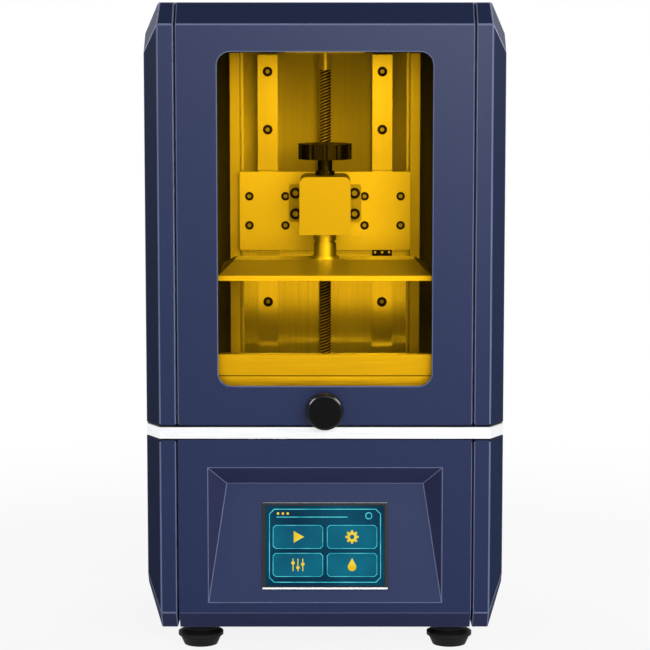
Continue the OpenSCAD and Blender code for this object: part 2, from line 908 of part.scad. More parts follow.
module lcd_panel()
    color("#20242b") placed()
        translate([0, platform_y, 0])
            block([-lcd_w / 2, -lcd_d / 2, lcd_z], [lcd_w / 2, lcd_d / 2, lcd_z + lcd_t]);

module lens_plate()
    color("#e6eef2") placed()
        translate([0, platform_y, 0]) {
            block([-lamp_w / 2, -lamp_d / 2, lens_z], [lamp_w / 2, lamp_d / 2, lens_z + lens_t]);
            for (x = [-1, 1], y = [-1, 1])
                translate([x * (lamp_w / 2 - lamp_r * 2), y * (lamp_d / 2 - lamp_r * 2), 0])
                    rod_z(lamp_r, lamp_z + board_t, lens_z + lens_t / 2);
        }

module led_board()
    color("#e9ecef") placed()
        translate([0, platform_y, 0]) {
            block([-lamp_w / 2, -lamp_d / 2, lamp_z], [lamp_w / 2, lamp_d / 2, lamp_z + board_t]);
            for (i = [1 : lamps_x], j = [1 : lamps_y])
                translate([lamp_w * (i / (lamps_x + 1) - 0.5), lamp_d * (j / (lamps_y + 1) - 0.5), 0])
                    rod_z(lamp_r, lamp_z, lamp_z + board_t + lamp_r);
        }

module heat_sink()
    color("#aeb3b8") placed()
        translate([0, platform_y, 0]) {
            block([-lamp_w / 2, -lamp_d / 2, lamp_z - fin_t], [lamp_w / 2, lamp_d / 2, lamp_z]);
            for (i = [0 : fins - 1])
                let (x = -lamp_w / 2 + i * (lamp_w - fin_t) / (fins - 1))
                    block([x, -lamp_d / 2, base_z + wall], [x + fin_t, lamp_d / 2, lamp_z - fin_t / 2]);
        }

module mainboard()
    color("#1d5a3a") placed()
        translate([main_x, main_y, main_z]) {
            block([-main_w / 2, -main_d / 2, 0], [main_w / 2, main_d / 2, board_t]);
            block([-main_w / 8, -main_d / 8, board_t], [main_w / 8, main_d / 8, board_t * 2]);
            for (x = [-main_w / 3, main_w / 3])
                translate([x, main_d / 3, 0])
                    rod_z(lamp_r * 1.5, board_t / 2, main_up);
            for (i = [-2 : 2])
                translate([i * main_w / 7, -main_d / 2 + main_up / 2, 0])
                    block([-main_up / 2, -main_up / 2, board_t / 2], [main_up / 2, main_up / 4, main_up]);
        }

// Tower and rails

// An extruded section: a web between two columns, with a groove and a rib inside each column
module tower_section() {
    inner = tower_w / 2 - column_t;
    difference() {
        translate([-tower_w / 2, column_y])
            square([tower_w, column_l + web_t]);
        translate([-inner, column_y - wall])
            square([2 * inner, column_l + wall]);
        for (s = [-1, 1])
            translate([s * (inner - groove_w / 2) - groove_w / 2, rail_face - wall])
                square([groove_w, wall * 2]);
    }
    for (s = [-1, 1])
        translate([s * (inner - groove_w - rib_w / 2) - rib_w / 2, rail_face - rib_h])
            square([rib_w, rib_h + wall]);
}

module tower()
    color("#c9ccd0") placed()
        difference() {
            union() {
                translate([0, 0, deck_top])
                    linear_extrude(tower_top - deck_top)
                        tower_section();
                bar(tower_w, [rail_face, deck_top], [rail_face + web_t + tower_foot, deck_top + web_t]);
            }
            bar(tower_w - 4 * column_t, [rail_face + web_t, deck_top + web_t],
                [rail_face + web_t + tower_foot * 2, deck_top + web_t * 2]);
            for (x = [-1, 1])
                translate([x * tower_w / 3, rail_face + web_t + tower_foot / 2, 0])
                    rod_z(bracket_bolt_r, deck_top - wall, deck_top + web_t * 2);
        }

module tower_cap()
    color("#c9ccd0") placed()
        difference() {
            bar(cap_w, [screw_y - bearing_r - wall, tower_top], [rail_face + web_t, tower_top + cap_t]);
            translate([0, screw_y, 0])
                rod_z(bearing_r + run_gap, tower_top - wall, tower_top + cap_t + wall);
        }

module screw_bearing()
    color("#9a9da1") placed()
        translate([0, screw_y, 0])
            difference() {
                rod_z(bearing_r, tower_top, tower_top + cap_t);
                rod_z(screw_r + run_gap, tower_top - wall, tower_top + cap_t + wall);
            }

module at_rail_holes()
    for (i = [0 : rail_holes - 1])
        translate([0, 0, rail_top - rail_end - i * rail_pitch])
            children();

// A rail's section has its foot on the tower face and a ball groove in each side
module rail()
    difference() {
        translate([0, 0, rail_z])
            linear_extrude(rail_len)
                difference() {
                    translate([-rail_w / 2, rail_front])
                        square([rail_w, rail_t]);
                    for (s = [-1, 1])
                        translate([s * rail_w / 2, rail_front + rail_t / 3])
                            circle(ball_r);
                }
        at_rail_holes()
            rod_y(rail_head_r + run_gap, rail_front - wall, rail_front + rail_head_t);
        at_rail_holes()
            rod_y(bolt_r + run_gap, rail_front - wall, rail_face + wall);
    }

module rail_left() color("#d9dbde") placed() translate([-rail_x, 0, 0]) rail();
module rail_right() color("#d9dbde") placed() translate([rail_x, 0, 0]) rail();

module rail_screws()
    color("#26282c") placed()
        for (x = [-rail_x, rail_x])
            translate([x, 0, 0])
                at_rail_holes()
                    difference() {
                        union() {
                            rod_y(rail_head_r, rail_front + rail_head_t / 4, rail_front + rail_head_t);
                            rod_y(bolt_r, rail_front + rail_head_t / 2, rail_face);
                        }
                        translate([0, rail_front, 0])
                            rotate([-90, 0, 0])
                                cylinder(r = bolt_r, h = rail_head_t * 0.7, $fn = 6);
                    }

// Carriage, arm and platform

// A rail carriage: the steel truck, its shorter plastic ends, the channel that runs on the rail,
// the two ball rows that hold it there, and a wiper that hangs below by the given length
module truck(wiper = 0) {
    body = truck_l / 2 - end_l;
    difference() {
        translate([0, 0, carriage_z]) {
            bar(truck_w, [plate_back, -body], [rail_face - truck_gap, body]);
            bar(truck_w - wall / 2, [plate_back + wall / 2, -truck_l / 2],
                [rail_face - truck_gap - wall / 4, truck_l / 2]);
            if (wiper > 0)
                bar(rail_w, [plate_back + wall, -truck_l / 2 - wiper], [rail_front, wall - truck_l / 2]);
        }
        bar(rail_w + 2 * panel_gap, [rail_front - panel_gap, rail_z],
            [rail_face + wall, rail_z + rail_len * 2]);
        translate([0, 0, carriage_z])
            for (x = [-bolt_x / 2, bolt_x / 2], z = [-bolt_z / 2, bolt_z / 2])
                translate([x, 0, z])
                    rod_y(bolt_r + run_gap, plate_back - wall, plate_back + wall * 2);
    }
    for (s = [-1, 1])
        translate([s * rail_w / 2, rail_front + rail_t / 3, carriage_z])
            rod_z(ball_r - panel_gap, -body, body);
}

module carriage_left() color("#8f9398") placed() translate([-rail_x, 0, 0]) truck();
module carriage_right() color("#8f9398") placed() translate([rail_x, 0, 0]) truck(wiper_l);

module at_carriage_bolts()
    for (s = [-rail_x, rail_x], x = [-bolt_x / 2, bolt_x / 2], z = [-bolt_z / 2, bolt_z / 2])
        translate([s + x, 0, carriage_z + z])
            children();

module at_bracket_bolts()
    for (x = [-bracket_bolt_x / 2, bracket_bolt_x / 2], z = [-bracket_bolt_z / 2, bracket_bolt_z / 2])
        translate([x, 0, bracket_z + z])
            children();

module carriage_plate()
    color("#d2d4d7") placed()
        difference() {
            translate([0, 0, carriage_z])
                along_y(plate_front, plate_back)
                    round_rect(plate_w, plate_h, wall / 2);
            at_carriage_bolts()
                rod_y(bolt_r + run_gap, plate_front - wall, plate_back + wall);
            at_carriage_bolts()
                rod_y(bolt_head_r + run_gap, plate_front - wall, plate_front + plate_t / 2);
            at_bracket_bolts()
                rod_y(bracket_bolt_r + run_gap, plate_front - wall, plate_back + wall);
        }

module carriage_screws()
    color("#26282c") placed()
        at_carriage_bolts()
            difference() {
                union() {
                    rod_y(bolt_head_r, plate_front + wall / 4, plate_front + plate_t / 2);
                    rod_y(bolt_r, plate_front + wall, plate_back + wall);
                }
                translate([0, plate_front, 0])
                    rotate([-90, 0, 0])
                        cylinder(r = bolt_r, h = wall, $fn = 6);
            }

module arm_bracket()
    color("#d2d4d7") placed()
        difference() {
            union() {
                translate([0, 0, bracket_z])
                    along_y(bracket_front, plate_front)
                        round_rect(bracket_w, bracket_h, wall);
                bar(arm_w, [clamp_back, arm_z], [bracket_front + bracket_t / 2, bracket_top]);
            }
            at_bracket_bolts()
                rod_y(bracket_bolt_r + run_gap, bracket_front - wall, plate_front + wall);
        }

module bracket_screws()
    color("#26282c") placed()
        at_bracket_bolts()
            difference() {
                union() {
                    rod_y(bracket_head_r, bracket_front - bracket_head_t, bracket_front);
                    rod_y(bracket_bolt_r, bracket_front - wall, plate_back);
                }
                translate([0, bracket_front - bracket_head_t, 0])
                    rotate([-90, 0, 0])
                        cylinder(r = bracket_bolt_r, h = bracket_head_t * 1.2, center = true, $fn = 6);
            }

module lead_nut()
    color("#e8e4d8") placed()
        difference() {
            translate([0, 0, carriage_z])
                bar(nut_w, [plate_back, -nut_h / 2], [rail_face - wall / 2, nut_h / 2]);
            translate([0, screw_y, carriage_z])
                rod_z(screw_r + run_gap, -nut_h, nut_h);
        }

// The clamp block's front outline has round upper corners
module clamp_outline()
    difference() {
        translate([-clamp_w / 2, 0])
            square([clamp_w, clamp_h]);
        for (s = [-1, 1])
            translate([s * (clamp_w / 2 - clamp_r), clamp_h - clamp_r])
                difference() {
                    translate([s > 0 ? 0 : -clamp_r * 2, 0])
                        square(clamp_r * 2);
                    circle(clamp_r);
                }
    }

module clamp_block()
    color("#d6d8da") placed()
        difference() {
            translate([0, 0, clamp_z])
                along_y(clamp_back - clamp_d, clamp_back)
                    clamp_outline();
            translate([0, platform_y, 0])
                rod_z(stem_r + run_gap, clamp_z - wall, clamp_z + stem_in);
            translate([0, platform_y, 0])
                rod_z(stud_r + run_gap, clamp_top - stud_l - wall, clamp_top + wall);
        }

module platform_stem()
    color("#d6d8da") placed()
        translate([0, platform_y, 0])
            difference() {
                union() {
                    rod_z(stem_r, platform_top, clamp_z + stem_in);
                    rod_z(stem_foot_r, platform_top, platform_top + stem_foot_t);
                }
                difference() {
                    rod_z(stem_r * 2, platform_top + stem_l * 0.6, platform_top + stem_l * 0.6 + wall);
                    rod_z(stem_r - ring_in, platform_top, clamp_z);
                }
            }

// The platform's outline from the front or the side: an upright edge and slopes that shed resin
module hip_outline(w, flat)
    polygon([
        [-w / 2, 0],
        [w / 2, 0],
        [w / 2, platform_t],
        [flat / 2, platform_t + hip_up],
        [-flat / 2, platform_t + hip_up],
        [-w / 2, platform_t]
    ]);

module build_platform()
    color("#d9dbdd") placed()
        translate([0, platform_y, platform_z])
            intersection() {
                along_x(-platform_w / 2, platform_w / 2)
                    hip_outline(platform_d, hip_flat);
                along_y(-platform_d / 2, platform_d / 2)
                    hip_outline(platform_w, platform_w - 2 * hip_side);
            }

module clamp_knob()
    color("#141517") placed()
        translate([0, platform_y, 0]) {
            difference() {
                rod_z(clamp_knob_r, knob_z, knob_z + clamp_knob_t);
                for (i = [0 : clamp_lobes - 1])
                    rotate([0, 0, i * 360 / clamp_lobes])
                        translate([clamp_knob_r + wall / 2, 0, 0])
                            rod_z(wall, knob_z - wall, knob_z + clamp_knob_t + wall);
            }
            rod_z(shank_r, clamp_top + panel_gap / 2, knob_z + wall);
            rod_z(collar_r, clamp_top + panel_gap / 2, clamp_top + collar_t);
            rod_z(stud_r, clamp_top - stud_l, clamp_top + wall);
        }

// Lead screw and motor

module lead_screw()
    color("#8d8f92") placed()
        translate([0, screw_y, 0])
            rod_z(screw_r, coupler_z + coupler_l / 2, tower_top + cap_t);

module shaft_coupler()
    color("#b4b7bb") placed()
        translate([0, screw_y, 0])
            difference() {
                rod_z(coupler_r, coupler_z, coupler_z + coupler_l);
                rod_z(screw_r + run_gap, coupler_z + coupler_l / 2, coupler_z + coupler_l + wall);
                rod_z(shaft_r + run_gap, coupler_z - wall, coupler_z + coupler_l / 2 + wall);
            }

module motor_shaft()
    color("#b9bcc0") placed()
        translate([0, screw_y, 0])
            rod_z(shaft_r, deck_z - motor_l, coupler_z + coupler_l / 2);

module z_motor()
    color("#202226") placed()
        translate([0, screw_y, 0])
            difference() {
                union() {
                    intersection() {
                        block([-motor_w / 2, -motor_w / 2, deck_z - motor_l],
                            [motor_w / 2, motor_w / 2, deck_z]);
                        rotate([0, 0, 45])
                            translate([0, 0, deck_z - motor_l / 2])
                                cube([motor_w * 1.3, motor_w * 1.3, motor_l * 2], center = true);
                    }
                    rod_z(pilot_r, deck_z - wall, deck_z + pilot_t);
                }
                rod_z(shaft_r + run_gap, deck_z - motor_l - wall, deck_z + pilot_t + wall);
            }

// Vat

module vat_body()
    color("#c4c7ca") placed()
        difference() {
            union() {
                bar(vat_w, [vat_front, vat_z], [vat_front + vat_d, vat_top]);
                bar(vat_w - 2 * lip_out, [vat_front + lip_out, vat_top - wall],
                    [vat_front + vat_wall, vat_top + wall]);
                bar(vat_w + 2 * lip_out, [vat_front - lip_out, vat_top + lip_gap],
                    [vat_front + vat_wall, vat_top + lip_h]);
                bar(vat_w + 2 * ear_w, [vat_mid - ear_l / 2, vat_z], [vat_mid + ear_l / 2, vat_z + ear_t]);
            }
            bar(vat_w - 2 * vat_wall, [vat_front + vat_wall, vat_z - wall],
                [vat_front + vat_d - vat_wall, vat_top + wall]);
        }

module vat_film()
    color("#e8f0f2") placed()
        bar(vat_w, [vat_front, film_z], [vat_front + vat_d, vat_z]);

module film_ring()
    color("#b0b4b8") placed()
        difference() {
            bar(vat_w, [vat_front, ring_z], [vat_front + vat_d, film_z]);
            bar(vat_w - 2 * ring_w, [vat_front + vat_wall, ring_z - wall],
                [vat_front + vat_d - vat_wall, film_z + wall]);
        }

module at_thumb(s) translate([s * (vat_w / 2 + thumb_head_r + 2 * panel_gap), vat_mid, 0]) children();

module vat_brackets()
    color("#2b2d31") placed()
        for (s = [-1, 1])
            difference() {
                mirror([s < 0 ? 1 : 0, 0, 0]) {
                    block([clip_x, vat_mid - ear_l / 2, deck_top],
                        [clip_x + clip_t, vat_mid + ear_l / 2, clip_z + clip_t]);
                    block([vat_w / 2 + panel_gap, vat_mid - ear_l / 4, clip_z],
                        [clip_x + wall, vat_mid + ear_l / 4, clip_z + clip_t]);
                }
                at_thumb(s)
                    rod_z(thumb_r + run_gap, deck_top, clip_z + clip_t * 2);
            }

module thumb_screw()
    difference() {
        union() {
            rod_z(thumb_r, vat_z + ear_t + panel_gap / 4, clip_z + clip_t + wall);
            rod_z(thumb_head_r, clip_z + clip_t + panel_gap, clip_z + clip_t + panel_gap + thumb_head_t);
        }
        for (i = [0 : clamp_lobes - 1])
            rotate([0, 0, i * 360 / clamp_lobes])
                translate([thumb_head_r + wall / 4, 0, 0])
                    rod_z(wall / 2, clip_z, vat_top + thumb_head_t * 2);
    }

module thumb_screw_left() color("#17181b") placed() at_thumb(-1) thumb_screw();
module thumb_screw_right() color("#17181b") placed() at_thumb(1) thumb_screw();

// Door

module window_shape(grow)
    translate([0, window_z])
        round_rect(window_w + 2 * grow, window_h + 2 * grow, window_r + grow);

module door_shell()
    color("#2f3a5e") placed()
        difference() {
            union() {
                centre_panel([0, hood_z], [hinge_y - hinge_side, body_h]);
                along_x(-centre_x, centre_x)
                    translate([0, hood_z])
                        square([lip_d, wall]);
            }
            along_y(-wall, wall * 2) window_shape(0);
            translate([0, 0, deck_top + knob_rise])
                rod_y(pin_r + run_gap, -wall, wall * 2);
        }

module window_gasket()
    color("#101114") placed()
        difference() {
            along_y(wall, wall + gasket_t) window_shape(pane_lap);
            along_y(0, wall * 2 + gasket_t) window_shape(panel_gap);
        }

module window_pane()
    color("#d69a10") placed()
        along_y(wall + gasket_t, wall + gasket_t + pane_t) window_shape(pane_lap);

// The knob is turned about its stud, with a narrow neck and a round rim
module door_knob()
    color("#0d0e10") placed()
        translate([0, 0, deck_top + knob_rise])
            rotate([90, 0, 0])
                rotate_extrude() {
                    square([knob_r * 0.55, knob_l / 2]);
                    translate([0, knob_l / 4])
                        square([knob_r - wall, knob_l * 3 / 4]);
                    translate([0, knob_l / 4 + wall])
                        square([knob_r, knob_l * 3 / 4 - 2 * wall]);
                    for (h = [knob_l / 4 + wall, knob_l - wall])
                        translate([knob_r - wall, h])
                            circle(wall);
                    translate([0, -wall * 2])
                        square([pin_r, wall * 3]);
                    translate([0, -wall * 2])
                        square([pin_r * 2, wall]);
                }

// Electrics

module fan_frame()
    color("#15161a") placed()
        translate([fan_x, 0, fan_z])
            difference() {
                union() {
                    difference() {
                        along_y(fan_y, fan_y + fan_t) round_rect(fan_w, fan_w, wall * 2);
                        rod_y(fan_bore, fan_y - wall, fan_y + fan_t + wall);
                    }
                    for (a = [0, 120, 240])
                        rotate([0, a, 0])
                            block([-wall, fan_y, 0], [wall, fan_y + wall, fan_bore + wall / 2]);
                    rod_y(hub_r, fan_y, fan_y + wall);
                }
                rod_y(pin_r + run_gap, fan_y - wall, fan_y + wall * 2);
                for (x = [-1, 1], z = [-1, 1])
                    translate([x * (fan_w / 2 - wall * 2), 0, z * (fan_w / 2 - wall * 2)])
                        rod_y(foot_hole_r, fan_y - wall, fan_y + fan_t + wall);
            }

module fan_rotor()
    color("#1d1f24") placed()
        translate([fan_x, fan_y + wall + panel_gap, fan_z]) {
            rod_y(hub_r, 0, fan_t - 2 * wall);
            rod_y(pin_r, -wall, wall);
            for (i = [0 : blades - 1])
                rotate([0, i * 360 / blades, 0])
                    translate([0, fan_t / 2 - wall, 0])
                        rotate([0, 0, blade_tilt])
                            block([-blade_t / 2, -blade_l / 2, hub_r - wall],
                                [blade_t / 2, blade_l / 2, fan_bore - wall]);
        }

module power_inlet()
    color("#121316") placed()
        translate([inlet_x, 0, inlet_z])
            union() {
                difference() {
                    union() {
                        rod_y(inlet_r, body_d, body_d + wall);
                        rod_y(inlet_r - wall, body_d - switch_d, body_d + wall / 2);
                    }
                    rod_y(socket_r, body_d - switch_d + wall, body_d + wall * 2);
                }
                rod_y(contact_r, body_d - switch_d + wall / 2, body_d);
            }

module switch_housing()
    color("#121316") placed()
        translate([inlet_x, 0, switch_z])
            difference() {
                union() {
                    bar(switch_w + 2 * switch_rim, [body_d, -switch_h / 2 - switch_rim],
                        [body_d + wall * 0.75, switch_h / 2 + switch_rim]);
                    bar(switch_w, [body_d - switch_d, -switch_h / 2], [body_d + wall / 2, switch_h / 2]);
                }
                bar(switch_w - 2 * wall, [body_d - switch_d + wall, -switch_h / 2 + wall / 2],
                    [body_d + wall * 2, switch_h / 2 - wall / 2]);
                translate([0, body_d - rocker_in, 0])
                    rod_x(contact_r + run_gap, -switch_w / 2 + wall / 2, switch_w / 2 - wall / 2);
            }

module power_rocker()
    color("#1b1c20") placed()
        translate([inlet_x, body_d - rocker_in, switch_z])
            rotate([rocker_tilt, 0, 0]) {
                along_x(-switch_w / 2 + wall + panel_gap, switch_w / 2 - wall - panel_gap)
                    polygon([
                        [-rocker_root.x, -rocker_root.y], [rocker_tip.x, -rocker_tip.y], [rocker_mid, 0],
                        rocker_tip, [-rocker_root.x, rocker_root.y]
                    ]);
                rod_x(contact_r, -switch_w / 2 + wall / 2 + panel_gap, switch_w / 2 - wall / 2 - panel_gap);
            }

module usb_socket()
    color("#b4b8bc") placed()
        translate([half_w - wall, usb_in, base_z + usb_up])
            difference() {
                union() {
                    block([-usb_l, -usb_w / 2 - wall / 4, -usb_h / 2 - wall / 4],
                        [wall - panel_gap, usb_w / 2 + wall / 4, usb_h / 2 + wall / 4]);
                    block([-wall, -usb_w, -usb_h * 1.5], [0, usb_w, usb_h * 1.5]);
                }
                difference() {
                    block([-usb_l + wall / 2, -usb_w / 2, -usb_h / 2], [wall * 2, usb_w / 2, usb_h / 2]);
                    block([-usb_l, -usb_w / 2 + wall / 2, 0], [-wall, usb_w / 2 - wall / 2, wall]);
                }
            }

base_front_panel();
base_side_left();
base_side_right();
base_back_panel();
base_bottom_plate();
corner_posts();
feet();
deck_plate();
hood_seal();
hood_side_left();
hood_side_right();
hood_back_panel();
hinge_fixed_leaf();
hinge_pin();
screen_bezel();
touch_screen();
screen_board();
lcd_panel();
lens_plate();
led_board();
heat_sink();
mainboard();
z_motor();
tower();
tower_cap();
screw_bearing();
rail_left();
rail_right();
rail_screws();
vat_body();
vat_film();
film_ring();
vat_brackets();
fan_frame();
power_inlet();
switch_housing();
usb_socket();
door_shell();
window_pane();
window_gasket();
door_knob();
hinge_door_leaf();
carriage_left();
carriage_right();
carriage_plate();
carriage_screws();
arm_bracket();
bracket_screws();
lead_nut();
clamp_block();
platform_stem();
build_platform();
clamp_knob();
lead_screw();
shaft_coupler();
motor_shaft();
thumb_screw_left();
thumb_screw_right();
power_rocker();
fan_rotor();
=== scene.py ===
import math

import bpy
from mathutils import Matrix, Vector


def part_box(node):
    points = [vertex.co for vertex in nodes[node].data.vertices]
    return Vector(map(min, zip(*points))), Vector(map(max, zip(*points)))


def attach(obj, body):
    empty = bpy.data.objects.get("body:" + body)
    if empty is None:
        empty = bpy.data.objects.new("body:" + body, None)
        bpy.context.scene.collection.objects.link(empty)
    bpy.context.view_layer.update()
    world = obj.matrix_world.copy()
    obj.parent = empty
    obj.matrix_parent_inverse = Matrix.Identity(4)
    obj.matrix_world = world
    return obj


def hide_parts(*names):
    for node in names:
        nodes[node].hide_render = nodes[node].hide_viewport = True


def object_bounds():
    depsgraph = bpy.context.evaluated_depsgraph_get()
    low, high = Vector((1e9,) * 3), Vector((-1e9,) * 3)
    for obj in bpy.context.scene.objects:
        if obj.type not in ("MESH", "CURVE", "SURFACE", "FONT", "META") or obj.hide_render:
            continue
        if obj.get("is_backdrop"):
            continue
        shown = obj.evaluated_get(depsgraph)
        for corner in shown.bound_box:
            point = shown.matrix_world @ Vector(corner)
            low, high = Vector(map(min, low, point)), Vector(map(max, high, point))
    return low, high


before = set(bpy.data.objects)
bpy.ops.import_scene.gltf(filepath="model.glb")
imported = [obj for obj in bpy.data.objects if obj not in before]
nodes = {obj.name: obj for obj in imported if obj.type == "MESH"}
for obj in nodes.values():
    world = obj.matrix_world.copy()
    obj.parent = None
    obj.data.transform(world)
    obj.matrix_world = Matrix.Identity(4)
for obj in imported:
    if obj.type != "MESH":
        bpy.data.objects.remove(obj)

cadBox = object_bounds()
mm = 0.001
scene = bpy.context.scene
scene.view_settings.view_transform = "Standard"
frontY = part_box("door_shell")[0].y  # plane of the door and the base front
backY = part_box("hood_back_panel")[1].y
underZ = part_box("base_bottom_plate")[0].z  # underside of the housing

# a long lens a little above the top, tilted down to the middle of the front; mm and degrees
view = {"lens": 139.0, "sensor": 36.0, "back": 1512.7, "height": 397.8, "tilt": 7.245, "reach": 60000.0}
camera = bpy.data.objects.new("camera", bpy.data.cameras.new("camera"))
camera.data.lens = view["lens"]
camera.data.sensor_width = view["sensor"]
camera.data.clip_end = view["reach"] * mm
camera.location = (0.0, frontY - view["back"] * mm, view["height"] * mm)
camera.rotation_euler = (math.radians(90.0 - view["tilt"]), 0.0, 0.0)
scene.collection.objects.link(camera)
scene.camera = camera
print("camera placed")


def linear(hexText):
    parts = [int(hexText[i:i + 2], 16) / 255 for i in (1, 3, 5)]
    return tuple(c / 12.92 if c < 0.04045 else ((c + 0.055) / 1.055) ** 2.4 for c in parts) + (1.0,)


def addNode(tree, kind, values=None, links=None, stops=None, **settings):
    node = tree.nodes.new("ShaderNode" + kind)
    for key, value in settings.items():
        setattr(node, key, value)
    for key, value in (values or {}).items():
        node.inputs[key].default_value = value
    for key, source in (links or {}).items():
        tree.links.new(source, node.inputs[key])
    for i, (place, colour) in enumerate(stops or []):
        row = node.color_ramp.elements
        element = row[i] if i < len(row) else row.new(place)
        element.position = place
        element.color = linear(colour)
    return node


def newMaterial(name):
    material = bpy.data.materials.new(name)
    material.use_nodes = True
    material.node_tree.nodes.clear()
    return material, material.node_tree


# a noise seldom leaves these values: colour and gloss run between them
toneLow, toneHigh = 0.32, 0.68
glossLow, glossHigh = 0.3, 0.7


def grained(name, dark, light, cell, rough, relief, values, stretch=(1.0, 1.0, 1.0)):
    # colour, gloss and relief all follow one grain, whose cell is given in mm
    material, tree = newMaterial(name)
    place = addNode(tree, "TexCoord")
    spread = addNode(tree, "Mapping", {"Scale": stretch}, {"Vector": place.outputs["Object"]})
    grain = addNode(tree, "TexNoise", {"Scale": 1.0 / (cell * mm), "Detail": 3.0, "Roughness": 0.55},
                    {"Vector": spread.outputs["Vector"]})
    colour = addNode(tree, "ValToRGB", links={"Fac": grain.outputs["Fac"]},
                     stops=[(toneLow, dark), (toneHigh, light)])
    gloss = addNode(tree, "MapRange", {"From Min": glossLow, "From Max": glossHigh,
                                       "To Min": rough[0], "To Max": rough[1]}, {"Value": grain.outputs["Fac"]})
    bump = addNode(tree, "Bump", {"Strength": 1.0, "Distance": relief * mm}, {"Height": grain.outputs["Fac"]})
    surface = addNode(tree, "BsdfPrincipled", values, {
        "Base Color": colour.outputs["Color"], "Roughness": gloss.outputs["Result"],
        "Normal": bump.outputs["Normal"]})
    addNode(tree, "OutputMaterial", links={"Surface": surface.outputs["BSDF"]})
    return material


# shares of gloss, and the stretch of a grain that runs along one axis
metal = {"Metallic": 1.0}
satin = {"IOR": 1.5, "Specular IOR Level": 0.15}
dull = {"IOR": 1.5, "Specular IOR Level": 0.03}
alongZ = (1.0, 1.0, 0.02)
alongX = (0.03, 1.0, 1.0)
# powder-coated steel: satin, with an orange peel of about a millimetre
navyCoat = grained("powder_coated_steel_navy", "#15244c", "#1a2955", 0.9, (0.36, 0.42), 0.008,
                   {"IOR": 1.5, "Specular IOR Level": 0.25})
# the same coat on the sloped floor of the console recess: duller, with its colour set for how the key lamp lights
# that slope, as painted shade
navyDull = grained("powder_coated_steel_navy_dull", "#1d2c55", "#22315d", 0.9, (0.42, 0.50), 0.008,
                   {"IOR": 1.5, "Specular IOR Level": 0.18})
# the same coat on faces turned away from the front: matt, with its colour set for the light those faces get, as
# painted shade
navyMatt = grained("powder_coated_steel_navy_matt", "#222b47", "#27304e", 0.9, (0.55, 0.65), 0.008,
                   {"IOR": 1.5, "Specular IOR Level": 0.015})
# and where a face is turned down or inwards, lighter and greyer: painted light, as from the floor's bounce
navyShade = grained("powder_coated_steel_navy_painted_light", "#34385a", "#3a3e61", 0.9, (0.6, 0.7), 0.008, dull)
# a light grey on the inside faces of the hood: painted light in the shaded gaps beside the tower
hoodInsideLight = grained("hood_inside_painted_light", "#96999b", "#a2a5a7", 1.2, (0.6, 0.7), 0.01, dull)
# powder coat of the floor plate, hinge and motor: matt and nearly black
darkCoat = grained("powder_coated_steel_dark", "#1d1f24", "#25272d", 0.9, (0.5, 0.65), 0.012, satin)
# extruded aluminium, clear anodised: faint streaks along the pull
extruded = grained("anodised_aluminium_extruded", "#bdbfc0", "#c2c3c4", 1.2, (0.34, 0.40), 0.0002, metal,
                   alongZ)
# milled plate, brushed across and anodised
brushed = grained("anodised_aluminium_brushed", "#dfe1e2", "#e7e9ea", 0.9, (0.30, 0.40), 0.0006, metal,
                  alongX)
# the vat, milled from the solid: a little greyer
milled = grained("anodised_aluminium_milled", "#c6c8ca", "#cdcfd0", 0.9, (0.32, 0.42), 0.0008, metal, alongX)
# bead-blasted aluminium: an even, very fine sparkle
blasted = grained("anodised_aluminium_blasted", "#d9dbdc", "#e2e4e5", 0.6, (0.36, 0.46), 0.003, metal)
# the same blast, duller and greyer on the bracket and the clamp
mattBlasted = grained("anodised_aluminium_matt", "#adafb0", "#b5b7b8", 0.6, (0.42, 0.50), 0.003, metal)
# the platform, blasted and etched so that prints hold: pale and half matt
etched = grained("anodised_aluminium_etched", "#eceeef", "#f3f4f4", 0.7, (0.30, 0.36), 0.002,
                 {"Metallic": 0.35})
# hardened steel, ground along its length
groundSteel = grained("ground_steel", "#cacccd", "#cfd1d2", 0.8, (0.28, 0.31), 0.0001, metal, alongZ)
# rolled screw steel: crests near white, lightened as painted light, with a sheen of oil
screwSteel = grained("rolled_thread_steel", "#f6f4ee", "#fcfaf6", 1.5, (0.18, 0.24), 0.001,
                     {"Metallic": 0.25, "Sheen Weight": 1.0, "Sheen Roughness": 0.25})
# a dark colour on the roots of the thread: painted shade
rootShade = grained("thread_root_painted_shade", "#3a2c1c", "#483823", 1.0, (0.3, 0.45), 0.004, satin)
# black oxide on socket screws
blackOxide = grained("black_oxide_steel", "#141416", "#202024", 0.7, (0.36, 0.48), 0.006, satin)
# a lighter steel at the bottom of the sockets: a painted glint
socketGlint = grained("socket_floor_painted_glint", "#8a8b8d", "#a2a3a5", 0.7, (0.3, 0.4), 0.004, metal)
# moulded ABS with a fine spark texture
blackAbs = grained("moulded_abs_black", "#090a0b", "#101113", 0.7, (0.36, 0.46), 0.010,
                   {"IOR": 1.53, "Specular IOR Level": 0.2})
# the door knob, turned from the same plastic: nearly black
turnedAbs = grained("turned_abs_black", "#060607", "#0b0b0c", 1.4, (0.3, 0.4), 0.002,
                    {"IOR": 1.53, "Specular IOR Level": 0.06})
# its edge, buffed: sharp lights
buffedAbs = grained("buffed_abs_black", "#060607", "#0b0b0c", 1.4, (0.12, 0.16), 0.001,
                    {"IOR": 1.53, "Specular IOR Level": 0.2})
# the upper edge of the bezel, coloured grey: a painted highlight
bezelEdgeLight = grained("bezel_edge_painted_highlight", "#7f838c", "#9296a0", 0.7, (0.3, 0.4), 0.004, satin)
# EPDM rubber: dull, a little dusty
rubber = grained("epdm_rubber", "#0e0f10", "#18191b", 1.6, (0.55, 0.70), 0.02, satin)
# acetal nut, waxy and nearly white
acetal = grained("acetal_natural", "#ddd8ca", "#ece8dc", 2.0, (0.35, 0.45), 0.006, {"IOR": 1.48})
